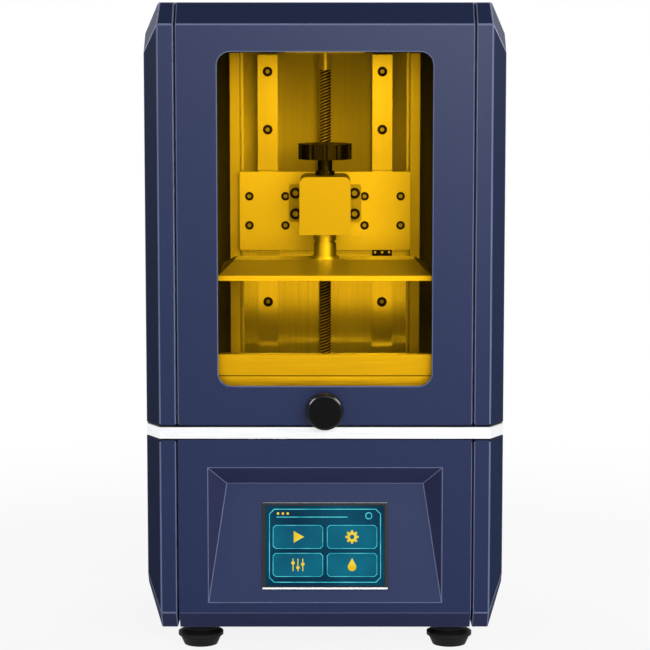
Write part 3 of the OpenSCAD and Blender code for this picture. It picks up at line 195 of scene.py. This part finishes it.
# solder-masked fibreglass, and the white board of the lamps
greenBoard = grained("solder_mask_green", "#14492f", "#1c5c3c", 1.2, (0.3, 0.42), 0.008, {"IOR": 1.55})
whiteBoard = grained("coated_metal_board", "#d6d9da", "#e6e8e9", 1.4, (0.4, 0.5), 0.008, {"IOR": 1.5})
# bright nickel on small hardware
nickel = grained("nickel_plate", "#d4d6d6", "#e6e7e7", 0.8, (0.20, 0.28), 0.003, metal)

streakCell = 1.2  # width of the streaks in mm


def paintedByHeight(name, middle, low, high, near, far):
    # two states of one finish, switched by height to paint light and shade: near a height and, between two
    # distances from it, changing to far; all in mm
    material, tree = newMaterial(name)
    place = addNode(tree, "TexCoord")
    spread = addNode(tree, "Mapping", {"Scale": alongZ}, {"Vector": place.outputs["Object"]})
    grain = addNode(tree, "TexNoise", {"Scale": 1.0 / (streakCell * mm), "Detail": 3.0},
                    {"Vector": spread.outputs["Vector"]})
    states = []
    for dark, light, values in (near, far):
        colour = addNode(tree, "ValToRGB", links={"Fac": grain.outputs["Fac"]},
                         stops=[(toneLow, dark), (toneHigh, light)])
        states.append(addNode(tree, "BsdfPrincipled", values, {"Base Color": colour.outputs["Color"]}))
    axes = addNode(tree, "SeparateXYZ", links={"Vector": place.outputs["Object"]})
    offset = addNode(tree, "Math", {1: middle * mm}, {0: axes.outputs["Z"]}, operation="SUBTRACT")
    away = addNode(tree, "Math", links={0: offset.outputs[0]}, operation="ABSOLUTE")
    share = addNode(tree, "MapRange", {"From Min": low * mm, "From Max": high * mm}, {"Value": away.outputs[0]},
                    interpolation_type="SMOOTHSTEP")
    both = addNode(tree, "MixShader", links={
        0: share.outputs["Result"], 1: states[0].outputs["BSDF"], 2: states[1].outputs["BSDF"]})
    addNode(tree, "OutputMaterial", links={"Surface": both.outputs["Shader"]})
    return material


# the web of the tower: mirror-bright metal below and matt above, switched by height: painted light below and
# painted shade above
webFinish = paintedByHeight("anodised_aluminium_web", 0.0, 232.0, 296.0,
                 ("#e0e2e3", "#eeeff0", {"Metallic": 1.0, "Roughness": 0.2}),
                 ("#e0e2e4", "#e9eaeb", {"Roughness": 0.55, "Specular IOR Level": 0.1}))
# hardened rail steel, ground along its length: lighter and glossier below, darker above, switched by height as
# painted light and shade
railFinish = paintedByHeight("ground_rail_steel", 0.0, 222.0, 262.0,
                  ("#eceded", "#f3f4f4", {"Metallic": 1.0, "Roughness": 0.17}),
                  ("#bfc1c2", "#c4c6c7", {"Metallic": 1.0, "Roughness": 0.3}))
# the coat on the rounds of the folds, painted lighter as a highlight; next to the deck it is painted dark as shade
# in the joint
deckLow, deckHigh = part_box("deck_plate")
deckMiddle = (deckLow.z + deckHigh.z) / 2
hem, hemFade = 0.9, 0.5  # mm above the edge of the door
hemTop = (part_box("door_shell")[0].z - deckMiddle) / mm + hem
navyFold = paintedByHeight("powder_coat_on_fold", deckMiddle / mm, hemTop, hemTop + hemFade,
                ("#10131f", "#151a28", {"Roughness": 0.5, "Specular IOR Level": 0.03}),
                ("#6d7496", "#787fa1", {"Roughness": 0.4, "Specular IOR Level": 0.03}))

sheet = {"ripple": 0.01, "share": 0.1, "inside": "#1c1503", "index": 1.49}  # ripple in mm


def clearSheet(name, tint, gloss, cell, reflect):
    # light crosses both faces of the sheet, so its tint is that of one face
    material, tree = newMaterial(name)
    place = addNode(tree, "TexCoord")
    ripple = addNode(tree, "TexNoise", {"Scale": 1.0 / (cell * mm), "Detail": 1.0},
                     {"Vector": place.outputs["Object"]})
    bump = addNode(tree, "Bump", {"Strength": sheet["share"], "Distance": sheet["ripple"] * mm},
                   {"Height": ripple.outputs["Fac"]})
    through = addNode(tree, "BsdfTransparent", {"Color": linear(tint)})
    shine = addNode(tree, "BsdfPrincipled",
                    {"Base Color": linear(sheet["inside"]), "Roughness": gloss, "IOR": sheet["index"]},
                    {"Normal": bump.outputs["Normal"]})
    edge = addNode(tree, "Fresnel", {"IOR": reflect}, {"Normal": bump.outputs["Normal"]})
    both = addNode(tree, "MixShader", links={
        0: edge.outputs["Fac"], 1: through.outputs["BSDF"], 2: shine.outputs["BSDF"]})
    addNode(tree, "OutputMaterial", links={"Surface": both.outputs["Shader"]})
    return material


# cast acrylic, dyed amber to keep blue light out
amber = clearSheet("cast_acrylic_amber", "#feec92", 0.04, 60.0, 1.16)
# fluoropolymer film and moulded lens: clear
clearFilm = clearSheet("fluoropolymer_film", "#f2f6f7", 0.1, 20.0, 1.35)
clearLens = clearSheet("moulded_lens_acrylic", "#f4f6f6", 0.08, 12.0, 1.45)
# cover glass of both screens
coverGlass = grained("cover_glass_black", "#05070a", "#080b10", 6.0, (0.06, 0.10), 0.0005, {"IOR": 1.52})

# rounds along the folds of the sheet metal: mm and degrees
rounds = {"join": 0.005, "flat": 0.5, "sharp": 9.5, "steps": 2}


def coat(names, material, fold=None, width=0.0):
    for name in names.split():
        piece = nodes[name]
        mesh = piece.data
        mesh.materials.clear()
        mesh.materials.append(material)
        for polygon in mesh.polygons:
            polygon.material_index = 0
        if fold:
            # sheet metal: flat faces, with a round along every fold that takes the fold colour, a painted
            # highlight
            if "custom_normal" in mesh.attributes:
                mesh.attributes.remove(mesh.attributes["custom_normal"])
            for polygon in mesh.polygons:
                polygon.use_smooth = False
            mesh.materials.append(fold)
            weld = piece.modifiers.new("join", "WELD")
            weld.merge_threshold = rounds["join"] * mm
            whole = piece.modifiers.new("flat", "DECIMATE")
            whole.decimate_type = "DISSOLVE"
            whole.angle_limit = math.radians(rounds["flat"])
            whole.delimit = {"MATERIAL"}
            bend = piece.modifiers.new("fold", "BEVEL")
            bend.width = width * mm
            bend.segments = rounds["steps"]
            bend.use_clamp_overlap = False
            bend.limit_method = "ANGLE"
            bend.angle_limit = math.radians(rounds["sharp"])
            bend.material = 1


def recoat(name, material, chosen):
    # gives some faces of a node another finish
    mesh = nodes[name].data
    mesh.materials.append(material)
    for polygon in mesh.polygons:
        if chosen(polygon.center, polygon.normal):
            polygon.material_index = len(mesh.materials) - 1


coat("door_shell", navyCoat, navyFold, 0.6)
coat("base_front_panel", navyCoat, navyFold, 0.32)
coat("hood_side_left hood_side_right base_side_left base_side_right hood_back_panel base_back_panel", navyCoat,
     navyFold, 0.7)
coat("base_bottom_plate hinge_fixed_leaf hinge_door_leaf z_motor", darkCoat)
coat("tower tower_cap", extruded)
coat("deck_plate heat_sink", brushed)
coat("vat_body film_ring", milled)
coat("arm_bracket clamp_block", mattBlasted)
coat("carriage_plate platform_stem shaft_coupler corner_posts", blasted)
coat("build_platform", etched)
coat("rail_left rail_right", railFinish)
coat("carriage_left carriage_right hinge_pin motor_shaft screw_bearing", groundSteel)
coat("lead_screw", screwSteel)
coat("rail_screws carriage_screws bracket_screws vat_brackets", blackOxide)
coat("clamp_knob thumb_screw_left thumb_screw_right fan_frame fan_rotor power_inlet", blackAbs)
coat("switch_housing power_rocker screen_bezel", blackAbs)
coat("door_knob", turnedAbs)
coat("feet hood_seal window_gasket", rubber)
coat("window_pane", amber)
coat("vat_film", clearFilm)
coat("lens_plate", clearLens)
coat("touch_screen lcd_panel", coverGlass)
coat("mainboard screen_board", greenBoard)
coat("led_board", whiteBoard)
coat("lead_nut", acetal)
coat("usb_socket", nickel)

# a face is turned straight to a side, or at least half to it
straight, half = 0.9, 0.5
plainFront = -0.95  # the front faces keep the satin coat
# faces turned away from the front take the matt coat, whose colour is painted shade
for name in ("door_shell base_front_panel hood_side_left hood_side_right base_side_left base_side_right"
             " hood_back_panel base_back_panel").split():
    recoat(name, navyMatt, lambda centre, normal: normal.y > plainFront)
# faces turned down take the lighter grey coat: painted light
for name in ("door_shell", "base_front_panel", "base_side_left", "base_side_right"):
    recoat(name, navyShade, lambda centre, normal: normal.z < -half and normal.y < 0)
# the recess of the console: its sloped floor, in the duller coat as painted shade, and its two side walls, in the
# lighter one as painted light
sloped, walled = 0.1, -0.7
recoat("base_front_panel", navyDull, lambda centre, normal: normal.z > sloped and normal.y < -straight)
recoat("base_front_panel", navyShade, lambda centre, normal: abs(normal.x) > half and walled < normal.y < -half)
# the inside faces of the hood take the light grey: painted light
recoat("hood_back_panel", hoodInsideLight, lambda centre, normal: normal.y < -straight)
recoat("hood_side_left", hoodInsideLight, lambda centre, normal: normal.x > straight)
recoat("hood_side_right", hoodInsideLight, lambda centre, normal: normal.x < -straight)
recoat("build_platform", brushed, lambda centre, normal: normal.y < -straight)
rimFront, rimBack = -0.97, -0.1
recoat("door_knob", buffedAbs, lambda centre, normal: rimFront < normal.y < rimBack)
# the groove under the raised lip of the vat
grooveLow, grooveHigh = 172.1 * mm, 173.1 * mm
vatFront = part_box("vat_body")[0].y + 4.0 * mm
# below the groove, the front wall of the vat takes the brighter brushed finish: painted light where the lip's
# shadow falls
recoat("vat_body", brushed, lambda centre, normal: normal.y < -straight and centre.z < grooveLow)
# the groove is coloured as black rubber: painted shade in it
recoat("vat_body", rubber, lambda centre, normal: grooveLow < centre.z < grooveHigh and centre.y < vatFront)
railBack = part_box("rail_left")[1].y
webNear = 0.2 * mm
recoat("tower", webFinish, lambda centre, normal: normal.y < -straight and abs(centre.y - railBack) < webNear)
truckLow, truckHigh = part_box("carriage_left")
mouldedEnd = 4.4 * mm
for name in ("carriage_left", "carriage_right"):
    recoat(name, blackAbs,
           lambda centre, normal: not truckLow.z + mouldedEnd < centre.z < truckHigh.z - mouldedEnd)
# the sockets of the screws take the lighter steel: a painted glint in each
rimDeep, socketDeep = 0.3 * mm, 3.2 * mm
for name in ("rail_screws", "carriage_screws", "bracket_screws"):
    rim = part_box(name)[0].y + rimDeep
    recoat(name, socketGlint, lambda centre, normal: rim < centre.y < rim + socketDeep and normal.y < -straight)
print("materials on", len(nodes), "nodes")


def addPiece(name, points, faces, material, body):
    mesh = bpy.data.meshes.new(name)
    mesh.from_pydata(points, [], faces)
    mesh.materials.append(material)
    piece = bpy.data.objects.new(name, mesh)
    scene.collection.objects.link(piece)
    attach(piece, body)
    return piece


# four-start trapezoidal thread, with a plain journal at its top; flat and flank are shares of a pitch
thread = {"pitch": 2.0, "starts": 4, "crest": 4.0, "root": 3.25, "step": 0.25, "sides": 32, "journal": 21.0,
          "flat": 0.12, "flank": 0.2}


def makeThread():
    low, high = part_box("lead_screw")
    axis = (low + high) / 2
    count = int((high.z - low.z) / (thread["step"] * mm))
    sides = thread["sides"]
    points, faces, roots = [], [], []
    for i in range(count + 1):
        z = low.z + (high.z - low.z) * i / count
        plain = high.z - z < thread["journal"] * mm
        for j in range(sides):
            turn = j / sides
            phase = ((z - low.z) / (thread["pitch"] * mm) - thread["starts"] * turn) % 1.0
            flank = (abs(phase - 0.5) - thread["flat"]) / thread["flank"]
            depth = 0.0 if plain else min(1.0, max(0.0, flank))
            radius = thread["crest"] - (thread["crest"] - thread["root"]) * depth
            angle = 2 * math.pi * turn
            points.append((axis.x + radius * mm * math.cos(angle),
                           axis.y + radius * mm * math.sin(angle), z))
            if i:
                row, k = (i - 1) * sides, (j + 1) % sides
                faces.append((row + j, row + k, row + sides + k, row + sides + j))
                roots.append(depth > 0.5)
    faces.append(tuple(reversed(range(sides))))
    faces.append(tuple(range(count * sides, count * sides + sides)))
    piece = addPiece("screw_thread", points, faces, screwSteel, "lead_screw")
    piece.data.materials.append(rootShade)
    # the faces cut deepest take the dark root colour: painted shade
    for polygon, root in zip(piece.data.polygons, roots):
        polygon.material_index = int(root)
    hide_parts("lead_screw")


makeThread()
print("thread cut")

# low round heads with a hexagon socket: radius, height, socket radius and socket depth in mm
heads = {"panel": (2.9, 1.6, 1.15, 1.0), "foot": (4.2, 2.4, 1.7, 1.4), "frame": (3.6, 2.2, 1.5, 1.3),
         "rivet": (1.0, 0.5, 0.3, 0.2)}
# outline of a head, as shares of its radius and height
headLine = ((1.0, 0.0), (1.0, 0.35), (0.93, 0.7), (0.75, 0.93), (0.5, 1.0))
headSides = 24


def addHead(name, kind, place, way, body, material=blackOxide):
    radius, height, socket, deep = heads[kind]
    rings = [(radius * wide, height * up) for wide, up in headLine]
    rings += [(socket, height), (socket, height - deep)]
    points, faces, sides = [], [], headSides
    for index, (r, h) in enumerate(rings):
        for j in range(sides):
            angle = 2 * math.pi * j / sides
            inner = index >= len(headLine)
            bend = math.cos(math.pi / 6) / math.cos((angle % (math.pi / 3)) - math.pi / 6) if inner else 1.0
            points.append(Vector((r * bend * math.cos(angle), r * bend * math.sin(angle), h)) * mm)
    for i in range(len(rings) - 1):
        for j in range(sides):
            k = (j + 1) % sides
            faces.append((i * sides + j, i * sides + k, (i + 1) * sides + k, (i + 1) * sides + j))
    last = (len(rings) - 1) * sides
    faces.append(tuple(range(last, last + sides)))
    turn = Vector((0, 0, 1)).rotation_difference(Vector(way)).to_matrix()
    return addPiece(name, [turn @ p + Vector(place) for p in points], faces, material, body)


# panel screws on the back: how far in from the sides, from the bottom and from the top, and how many
panelScrews = {"hood": ("hood_back_panel", 10.0, 14.0, 26.0, 3),
               "base": ("base_back_panel", 10.0, 24.0, 12.0, 2)}
for label, (node, inX, inLow, inHigh, rows) in panelScrews.items():
    low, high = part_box(node)
    bottom, top = low.z + inLow * mm, high.z - inHigh * mm
    for side in (-1, 1):
        for row in range(rows):
            z = bottom + (top - bottom) * row / (rows - 1)
            place = (side * (high.x - inX * mm), high.y, z)
            addHead(f"{label}_screw_{'lr'[side > 0]}{row}", "panel", place, (0, 1, 0), "housing")

fanLow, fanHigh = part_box("fan_frame")
fanIn = 4.0 * mm
for i, x in enumerate((fanLow.x + fanIn, fanHigh.x - fanIn)):
    for j, z in enumerate((fanLow.z + fanIn, fanHigh.z - fanIn)):
        addHead(f"fan_screw_{i}{j}", "panel", (x, backY, z), (0, 1, 0), "housing")

feetLow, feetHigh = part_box("feet")
footR = 14.1 * mm
for i, x in enumerate((feetLow.x + footR, feetHigh.x - footR)):
    for j, y in enumerate((feetLow.y + footR, feetHigh.y - footR)):
        addHead(f"foot_screw_{i}{j}", "foot", (x, y, feetHigh.z / 2), (0, 0, -1), "housing")

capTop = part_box("tower_cap")[1].z
towerLow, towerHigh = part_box("tower")
frameScrews = {"cap": 18.0, "footX": 124.0 / 3, "footIn": 13.0, "footUp": 8.0}
for i, side in enumerate((-1, 1)):
    addHead(f"cap_screw_{i}", "frame", (side * frameScrews["cap"] * mm, railBack, capTop), (0, 0, 1), "housing")
    foot = (side * frameScrews["footX"] * mm, towerHigh.y - frameScrews["footIn"] * mm,
            towerLow.z + frameScrews["footUp"] * mm)
    addHead(f"tower_screw_{i}", "frame", foot, (0, 0, 1), "housing")
print("screws set")

# truck ends: a dark seal plate with two bright screws, and three rivets in the wiper on the right
truckEnd = {"thick": 0.5, "inset": 0.8, "front": 1.6, "back": 0.8, "gap": 0.6, "spread": 11.5,
            "deep": 6.0}
wiper = {"up": 2.4, "rivets": (-4.6, 0.0, 4.6), "setBack": 2.0}


def makeTruckEnd(name, tag, z, way):
    low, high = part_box(name)
    railLow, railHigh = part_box(name.replace("carriage", "rail"))
    gap, inset = truckEnd["gap"] * mm, truckEnd["inset"] * mm
    x0, x1 = low.x + inset, high.x - inset
    y0, y1 = low.y + truckEnd["front"] * mm, high.y - truckEnd["back"] * mm
    outline = [(x0, y0), (x1, y0), (x1, y1), (railHigh.x + gap, y1), (railHigh.x + gap, railLow.y - gap),
               (railLow.x - gap, railLow.y - gap), (railLow.x - gap, y1), (x0, y1)]
    if name.endswith("right") and way < 0:
        # two halves leave room for the wiper between them
        outlines = [[(x0, y0), (railLow.x - gap, y0), (railLow.x - gap, y1), (x0, y1)],
                    [(railHigh.x + gap, y0), (x1, y0), (x1, y1), (railHigh.x + gap, y1)]]
    else:
        outlines = [outline]
    lift = z + way * truckEnd["thick"] * mm
    under, over = sorted((z, lift))
    points, faces = [], []
    for line in outlines:
        start, count = len(points), len(line)
        points += [(x, y, under) for x, y in line] + [(x, y, over) for x, y in line]
        faces += [tuple(reversed(range(start, start + count))), tuple(range(start + count, start + 2 * count))]
        faces += [(start + i, start + (i + 1) % count, start + count + (i + 1) % count, start + count + i)
                  for i in range(count)]
    addPiece(f"{name}_seal_{tag}", points, faces, blackAbs, "carriage")
    for side in (-1, 1):
        place = ((low.x + high.x) / 2 + side * truckEnd["spread"] * mm, low.y + truckEnd["deep"] * mm, lift)
        addHead(f"{name}_seal_{tag}_screw_{'lr'[side > 0]}", "panel", place, (0, 0, way), "carriage",
                nickel)


for name in ("carriage_left", "carriage_right"):
    makeTruckEnd(name, "top", truckHigh.z, 1)
    makeTruckEnd(name, "foot", truckLow.z, -1)
low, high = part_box("carriage_right")
for i, x in enumerate(wiper["rivets"]):
    place = ((low.x + high.x) / 2 + x * mm, low.y + wiper["setBack"] * mm, low.z + wiper["up"] * mm)
    addHead(f"wiper_rivet_{i}", "rivet", place, (0, -1, 0), "carriage", nickel)
print("truck ends fitted")

litGlass = {"Base Color": linear("#020304"), "Roughness": 0.12, "Specular IOR Level": 0.03,
            "Emission Strength": 1.0}
cloudLow, cloudHigh = 0.35, 0.65


def lit(name, dark, light, reachMm):
    # back-lit colour, a little uneven as such panels are
    material, tree = newMaterial(name)
    place = addNode(tree, "TexCoord")
    cloud = addNode(tree, "TexNoise", {"Scale": 1.0 / (reachMm * mm), "Detail": 2.0},
                    {"Vector": place.outputs["Object"]})
    colour = addNode(tree, "ValToRGB", links={"Fac": cloud.outputs["Fac"]},
                     stops=[(cloudLow, dark), (cloudHigh, light)])
    surface = addNode(tree, "BsdfPrincipled", litGlass, {"Emission Color": colour.outputs["Color"]})
    addNode(tree, "OutputMaterial", links={"Surface": surface.outputs["BSDF"]})
    return material


# liquid crystal panel lit from behind: the ground, the tiles, thin lines and the signs
backLight = lit("backlit_panel_teal", "#04203a", "#084a63", 60.0)
tileLight = lit("backlit_tile_blue", "#0a566f", "#0d6c84", 30.0)
lineLight = lit("backlit_line_cyan", "#2fb6c8", "#5fe3ea", 8.0)
signLight = lit("backlit_sign_yellow", "#e8c21c", "#f6dc4c", 8.0)

# the screen's own plane: middle, tilt and lit size in mm
screen = {"tilt": 10.98, "rise": 18.0, "up": 35.0, "proud": 0.5, "wide": 73.2, "high": 49.4}


def onScreen(x, y, lift):
    tilt = math.radians(screen["tilt"])
    slope, out = screen["up"] + y, screen["proud"] + lift
    return Vector((x * mm, frontY + (slope * math.sin(tilt) - out * math.cos(tilt)) * mm,
                   underZ + (screen["rise"] + slope * math.cos(tilt) + out * math.sin(tilt)) * mm))


def drawShape(name, outlines, lift, material):
    points, faces = [], []
    for outline in outlines:
        start = len(points)
        points += [onScreen(x, y, lift) for x, y in outline]
        faces.append(tuple(range(start, start + len(outline))))
    return addPiece(name, points, faces, material, "housing")


def cutBox(x, y, w, h, cut):
    return [(x - w / 2 + cut, y - h / 2), (x + w / 2 - cut, y - h / 2), (x + w / 2, y - h / 2 + cut),
            (x + w / 2, y + h / 2 - cut), (x + w / 2 - cut, y + h / 2), (x - w / 2 + cut, y + h / 2),
            (x - w / 2, y + h / 2 - cut), (x - w / 2, y - h / 2 + cut)]


def ringOf(outer, inner):
    count = len(outer)
    return [[outer[i], outer[(i + 1) % count], inner[(i + 1) % count], inner[i]] for i in range(count)]


def roundOf(x, y, r, count):
    return [(x + r * math.cos(2 * math.pi * i / count), y + r * math.sin(2 * math.pi * i / count))
            for i in range(count)]


# painted highlights along the bezel: a nickel strip on its lower edge and a thin grey one on its upper edge, in mm
bezel = {"wide": 77.0, "low": -26.7, "high": 26.7, "thick": 1.0, "thin": 0.5, "cut": 0.1, "lift": 0.75}
lowEdge = cutBox(0, bezel["low"] + bezel["thick"] / 2, bezel["wide"], bezel["thick"], bezel["cut"])
highEdge = cutBox(0, bezel["high"] - bezel["thin"] / 2, bezel["wide"], bezel["thin"], bezel["cut"])
drawShape("bezel_low_edge", [lowEdge], bezel["lift"], nickel)
drawShape("bezel_high_edge", [highEdge], bezel["lift"], bezelEdgeLight)

# a plain menu: four tiles under a status line, with signs for start, settings, levels and resin; mm
menu = {"frameW": 69.0, "frameH": 45.4, "frameLine": 1.0, "tileW": 31.0, "tileH": 14.6, "tileLine": 0.7,
        "gapX": 2.4, "gapY": 2.6, "down": -3.2}
cuts = {"screen": 0.4, "frame": 3.0, "frameIn": 2.8, "tile": 1.6, "tileIn": 1.5, "status": 0.1}
lifts = {"screen": 0.05, "frame": 0.10, "tile": 0.10, "status": 0.12, "tileLine": 0.14, "sign": 0.16}
panel = cutBox(0, 0, screen["wide"], screen["high"], cuts["screen"])
drawShape("screen_light", [panel], lifts["screen"], backLight)
frameOut = cutBox(0, 0, menu["frameW"], menu["frameH"], cuts["frame"])
frameIn = cutBox(0, 0, menu["frameW"] - menu["frameLine"], menu["frameH"] - menu["frameLine"], cuts["frameIn"])
drawShape("screen_frame_line", ringOf(frameOut, frameIn), lifts["frame"], lineLight)
tileX, tileY = (menu["tileW"] + menu["gapX"]) / 2, (menu["tileH"] + menu["gapY"]) / 2
places = [(sx * tileX, sy * tileY + menu["down"]) for sx, sy in ((-1, 1), (1, 1), (-1, -1), (1, -1))]
for i, (x, y) in enumerate(places):
    tile = cutBox(x, y, menu["tileW"], menu["tileH"], cuts["tile"])
    tileIn = cutBox(x, y, menu["tileW"] - menu["tileLine"], menu["tileH"] - menu["tileLine"], cuts["tileIn"])
    drawShape(f"tile_{i}", [tile], lifts["tile"], tileLight)
    drawShape(f"tile_line_{i}", ringOf(tile, tileIn), lifts["tileLine"], lineLight)

startSign = ((-2.6, -3.6), (3.8, 0.0), (-2.6, 3.6))
x, y = places[0]
drawShape("sign_start", [[(x + u, y + v) for u, v in startSign]], lifts["sign"], signLight)

gear = {"teeth": 8, "outer": 3.0, "inner": 1.4, "sides": 24,
        "tooth": ((2.6, -0.8), (4.1, -0.6), (4.1, 0.6), (2.6, 0.8))}
x, y = places[1]
teeth = []
for i in range(gear["teeth"]):
    a = 2 * math.pi * i / gear["teeth"]
    u, v = (math.cos(a), math.sin(a)), (-math.sin(a), math.cos(a))
    teeth.append([(x + u[0] * r + v[0] * s, y + u[1] * r + v[1] * s) for r, s in gear["tooth"]])
hub = ringOf(roundOf(x, y, gear["outer"], gear["sides"]), roundOf(x, y, gear["inner"], gear["sides"]))
drawShape("sign_settings", hub + teeth, lifts["sign"], signLight)

sliders = {"at": ((-3.0, 1.2), (0.0, -1.6), (3.0, 0.4)), "halfW": 0.3, "halfH": 3.8, "knob": 1.1, "sides": 14}
x, y = places[2]
levels = []
for offset, knob in sliders["at"]:
    levels.append([(x + offset + s * sliders["halfW"], y + t * sliders["halfH"])
                   for s, t in ((-1, -1), (1, -1), (1, 1), (-1, 1))])
    levels.append(roundOf(x + offset, y + knob, sliders["knob"], sliders["sides"]))
drawShape("sign_levels", levels, lifts["sign"], signLight)

drop = {"round": 2.6, "down": 1.2, "tip": 4.2, "open": 120, "step": 15}
x, y = places[3]
turns = [math.radians(t) for t in range(-drop["open"], drop["open"] + 1, drop["step"])]
belly = [(x + drop["round"] * math.sin(a), y - drop["down"] - drop["round"] * math.cos(a)) for a in turns]
drawShape("sign_resin", [belly + [(x, y + drop["tip"])]], lifts["sign"], signLight)

status = {"y": 17.6, "lineX": -8.0, "lineW": 44.0, "lineH": 0.5, "dots": 3, "dotX": -29.0, "dotStep": 3.0,
          "dotUp": 2.2, "dotR": 0.8, "dotSides": 14, "ringX": 27.0, "ringUp": 0.8, "ringR": (2.2, 1.6),
          "ringSides": 24}
line = cutBox(status["lineX"], status["y"], status["lineW"], status["lineH"], cuts["status"])
dots = [roundOf(status["dotX"] + status["dotStep"] * i, status["y"] + status["dotUp"], status["dotR"],
                status["dotSides"]) for i in range(status["dots"])]
rings = [roundOf(status["ringX"], status["y"] + status["ringUp"], r, status["ringSides"]) for r in status["ringR"]]
drawShape("status_line", [line], lifts["status"], lineLight)
drawShape("status_dots", dots, lifts["status"], signLight)
drawShape("status_ring", ringOf(*rings), lifts["status"], lineLight)
print("menu drawn")


def seenDirectly(tree):
    # 1 for the rays that show the background: straight, mirrored or through glass
    path = addNode(tree, "LightPath")
    seen = addNode(tree, "Math", links={0: path.outputs["Is Camera Ray"], 1: path.outputs["Is Glossy Ray"]},
                   operation="MAXIMUM")
    return addNode(tree, "Math", links={0: seen.outputs[0], 1: path.outputs["Is Transmission Ray"]},
                   operation="MAXIMUM").outputs[0]


# plain pale floor that keeps a soft shadow and fades to white away from the object, in metres
floorLook = {"reach": 14.0, "near": 0.25, "far": 0.8, "share": 0.88, "cell": 0.025}


def makeFloor():
    material, tree = newMaterial("pale_studio_floor")
    place = addNode(tree, "TexCoord")
    grain = addNode(tree, "TexNoise", {"Scale": 1.0 / floorLook["cell"], "Detail": 2.0},
                    {"Vector": place.outputs["Object"]})
    colour = addNode(tree, "ValToRGB", links={"Fac": grain.outputs["Fac"]},
                     stops=[(glossLow, "#e4e4e4"), (glossHigh, "#eaeaea")])
    matt = addNode(tree, "BsdfDiffuse", links={"Color": colour.outputs["Color"]})
    away = addNode(tree, "VectorMath", links={0: place.outputs["Object"]}, operation="LENGTH")
    fade = addNode(tree, "MapRange", {"From Min": floorLook["near"], "From Max": floorLook["far"],
                                      "To Min": floorLook["share"], "To Max": 1.0},
                   {"Value": away.outputs["Value"]}, interpolation_type="SMOOTHERSTEP")
    share = addNode(tree, "Math", links={0: fade.outputs["Result"], 1: seenDirectly(tree)},
                    operation="MULTIPLY")
    glow = addNode(tree, "Emission", {"Color": (1, 1, 1, 1), "Strength": 1.0})
    both = addNode(tree, "MixShader", links={
        0: share.outputs[0], 1: matt.outputs["BSDF"], 2: glow.outputs["Emission"]})
    addNode(tree, "OutputMaterial", links={"Surface": both.outputs["Shader"]})
    mesh = bpy.data.meshes.new("floor")
    reach = floorLook["reach"]
    corners = [(-reach, -reach, 0), (reach, -reach, 0), (reach, reach, 0), (-reach, reach, 0)]
    mesh.from_pydata(corners, [], [(0, 1, 2, 3)])
    mesh.materials.append(material)
    floor = bpy.data.objects.new("floor", mesh)
    scene.collection.objects.link(floor)
    floor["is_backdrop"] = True


makeFloor()


def makeWorld(soft):
    world = bpy.data.worlds.new("studio")
    scene.world = world
    world.use_nodes = True
    tree = world.node_tree
    tree.nodes.clear()
    level = addNode(tree, "MapRange", {"To Min": soft, "To Max": 1.0}, {"Value": seenDirectly(tree)})
    sky = addNode(tree, "Background", {"Color": (1, 1, 1, 1)}, {"Strength": level.outputs["Result"]})
    addNode(tree, "OutputWorld", links={"Surface": sky.outputs["Background"]})


makeWorld(soft=0.2)

# soft boxes: place, aim, size in metres and power in watts; the strips show only in gloss, along edges
lamps = {"key": ((0.36, -1.10, 0.55), (0, -0.05, 0.25), (0.9, 0.4), 9.0),
         "left": ((-1.3, 1.9, 1.0), (0, 0, 0.22), (1.1, 1.1), 24.0),
         "right": ((1.3, 1.9, 1.0), (0, 0, 0.22), (1.1, 1.1), 24.0),
         "strip_left": ((-0.88, -0.30, 0.75), (0, -0.1, 0.15), (1.2, 0.5), 36.0),
         "strip_right": ((0.88, -0.30, 0.75), (0, -0.1, 0.15), (1.2, 0.5), 36.0)}
for name, (place, aim, size, power) in lamps.items():
    lamp = bpy.data.lights.new(name, "AREA")
    lamp.shape = "RECTANGLE"
    lamp.size, lamp.size_y = size
    lamp.energy = power
    holder = bpy.data.objects.new(name, lamp)
    holder.location = place
    holder.rotation_euler = (Vector(aim) - Vector(place)).to_track_quat("-Z", "Y").to_euler()
    holder.visible_camera = False
    holder.visible_diffuse = not name.startswith("strip")
    scene.collection.objects.link(holder)
print("studio lit")

size = {"cad": [list(corner) for corner in cadBox], "visual": [list(corner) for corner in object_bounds()]}
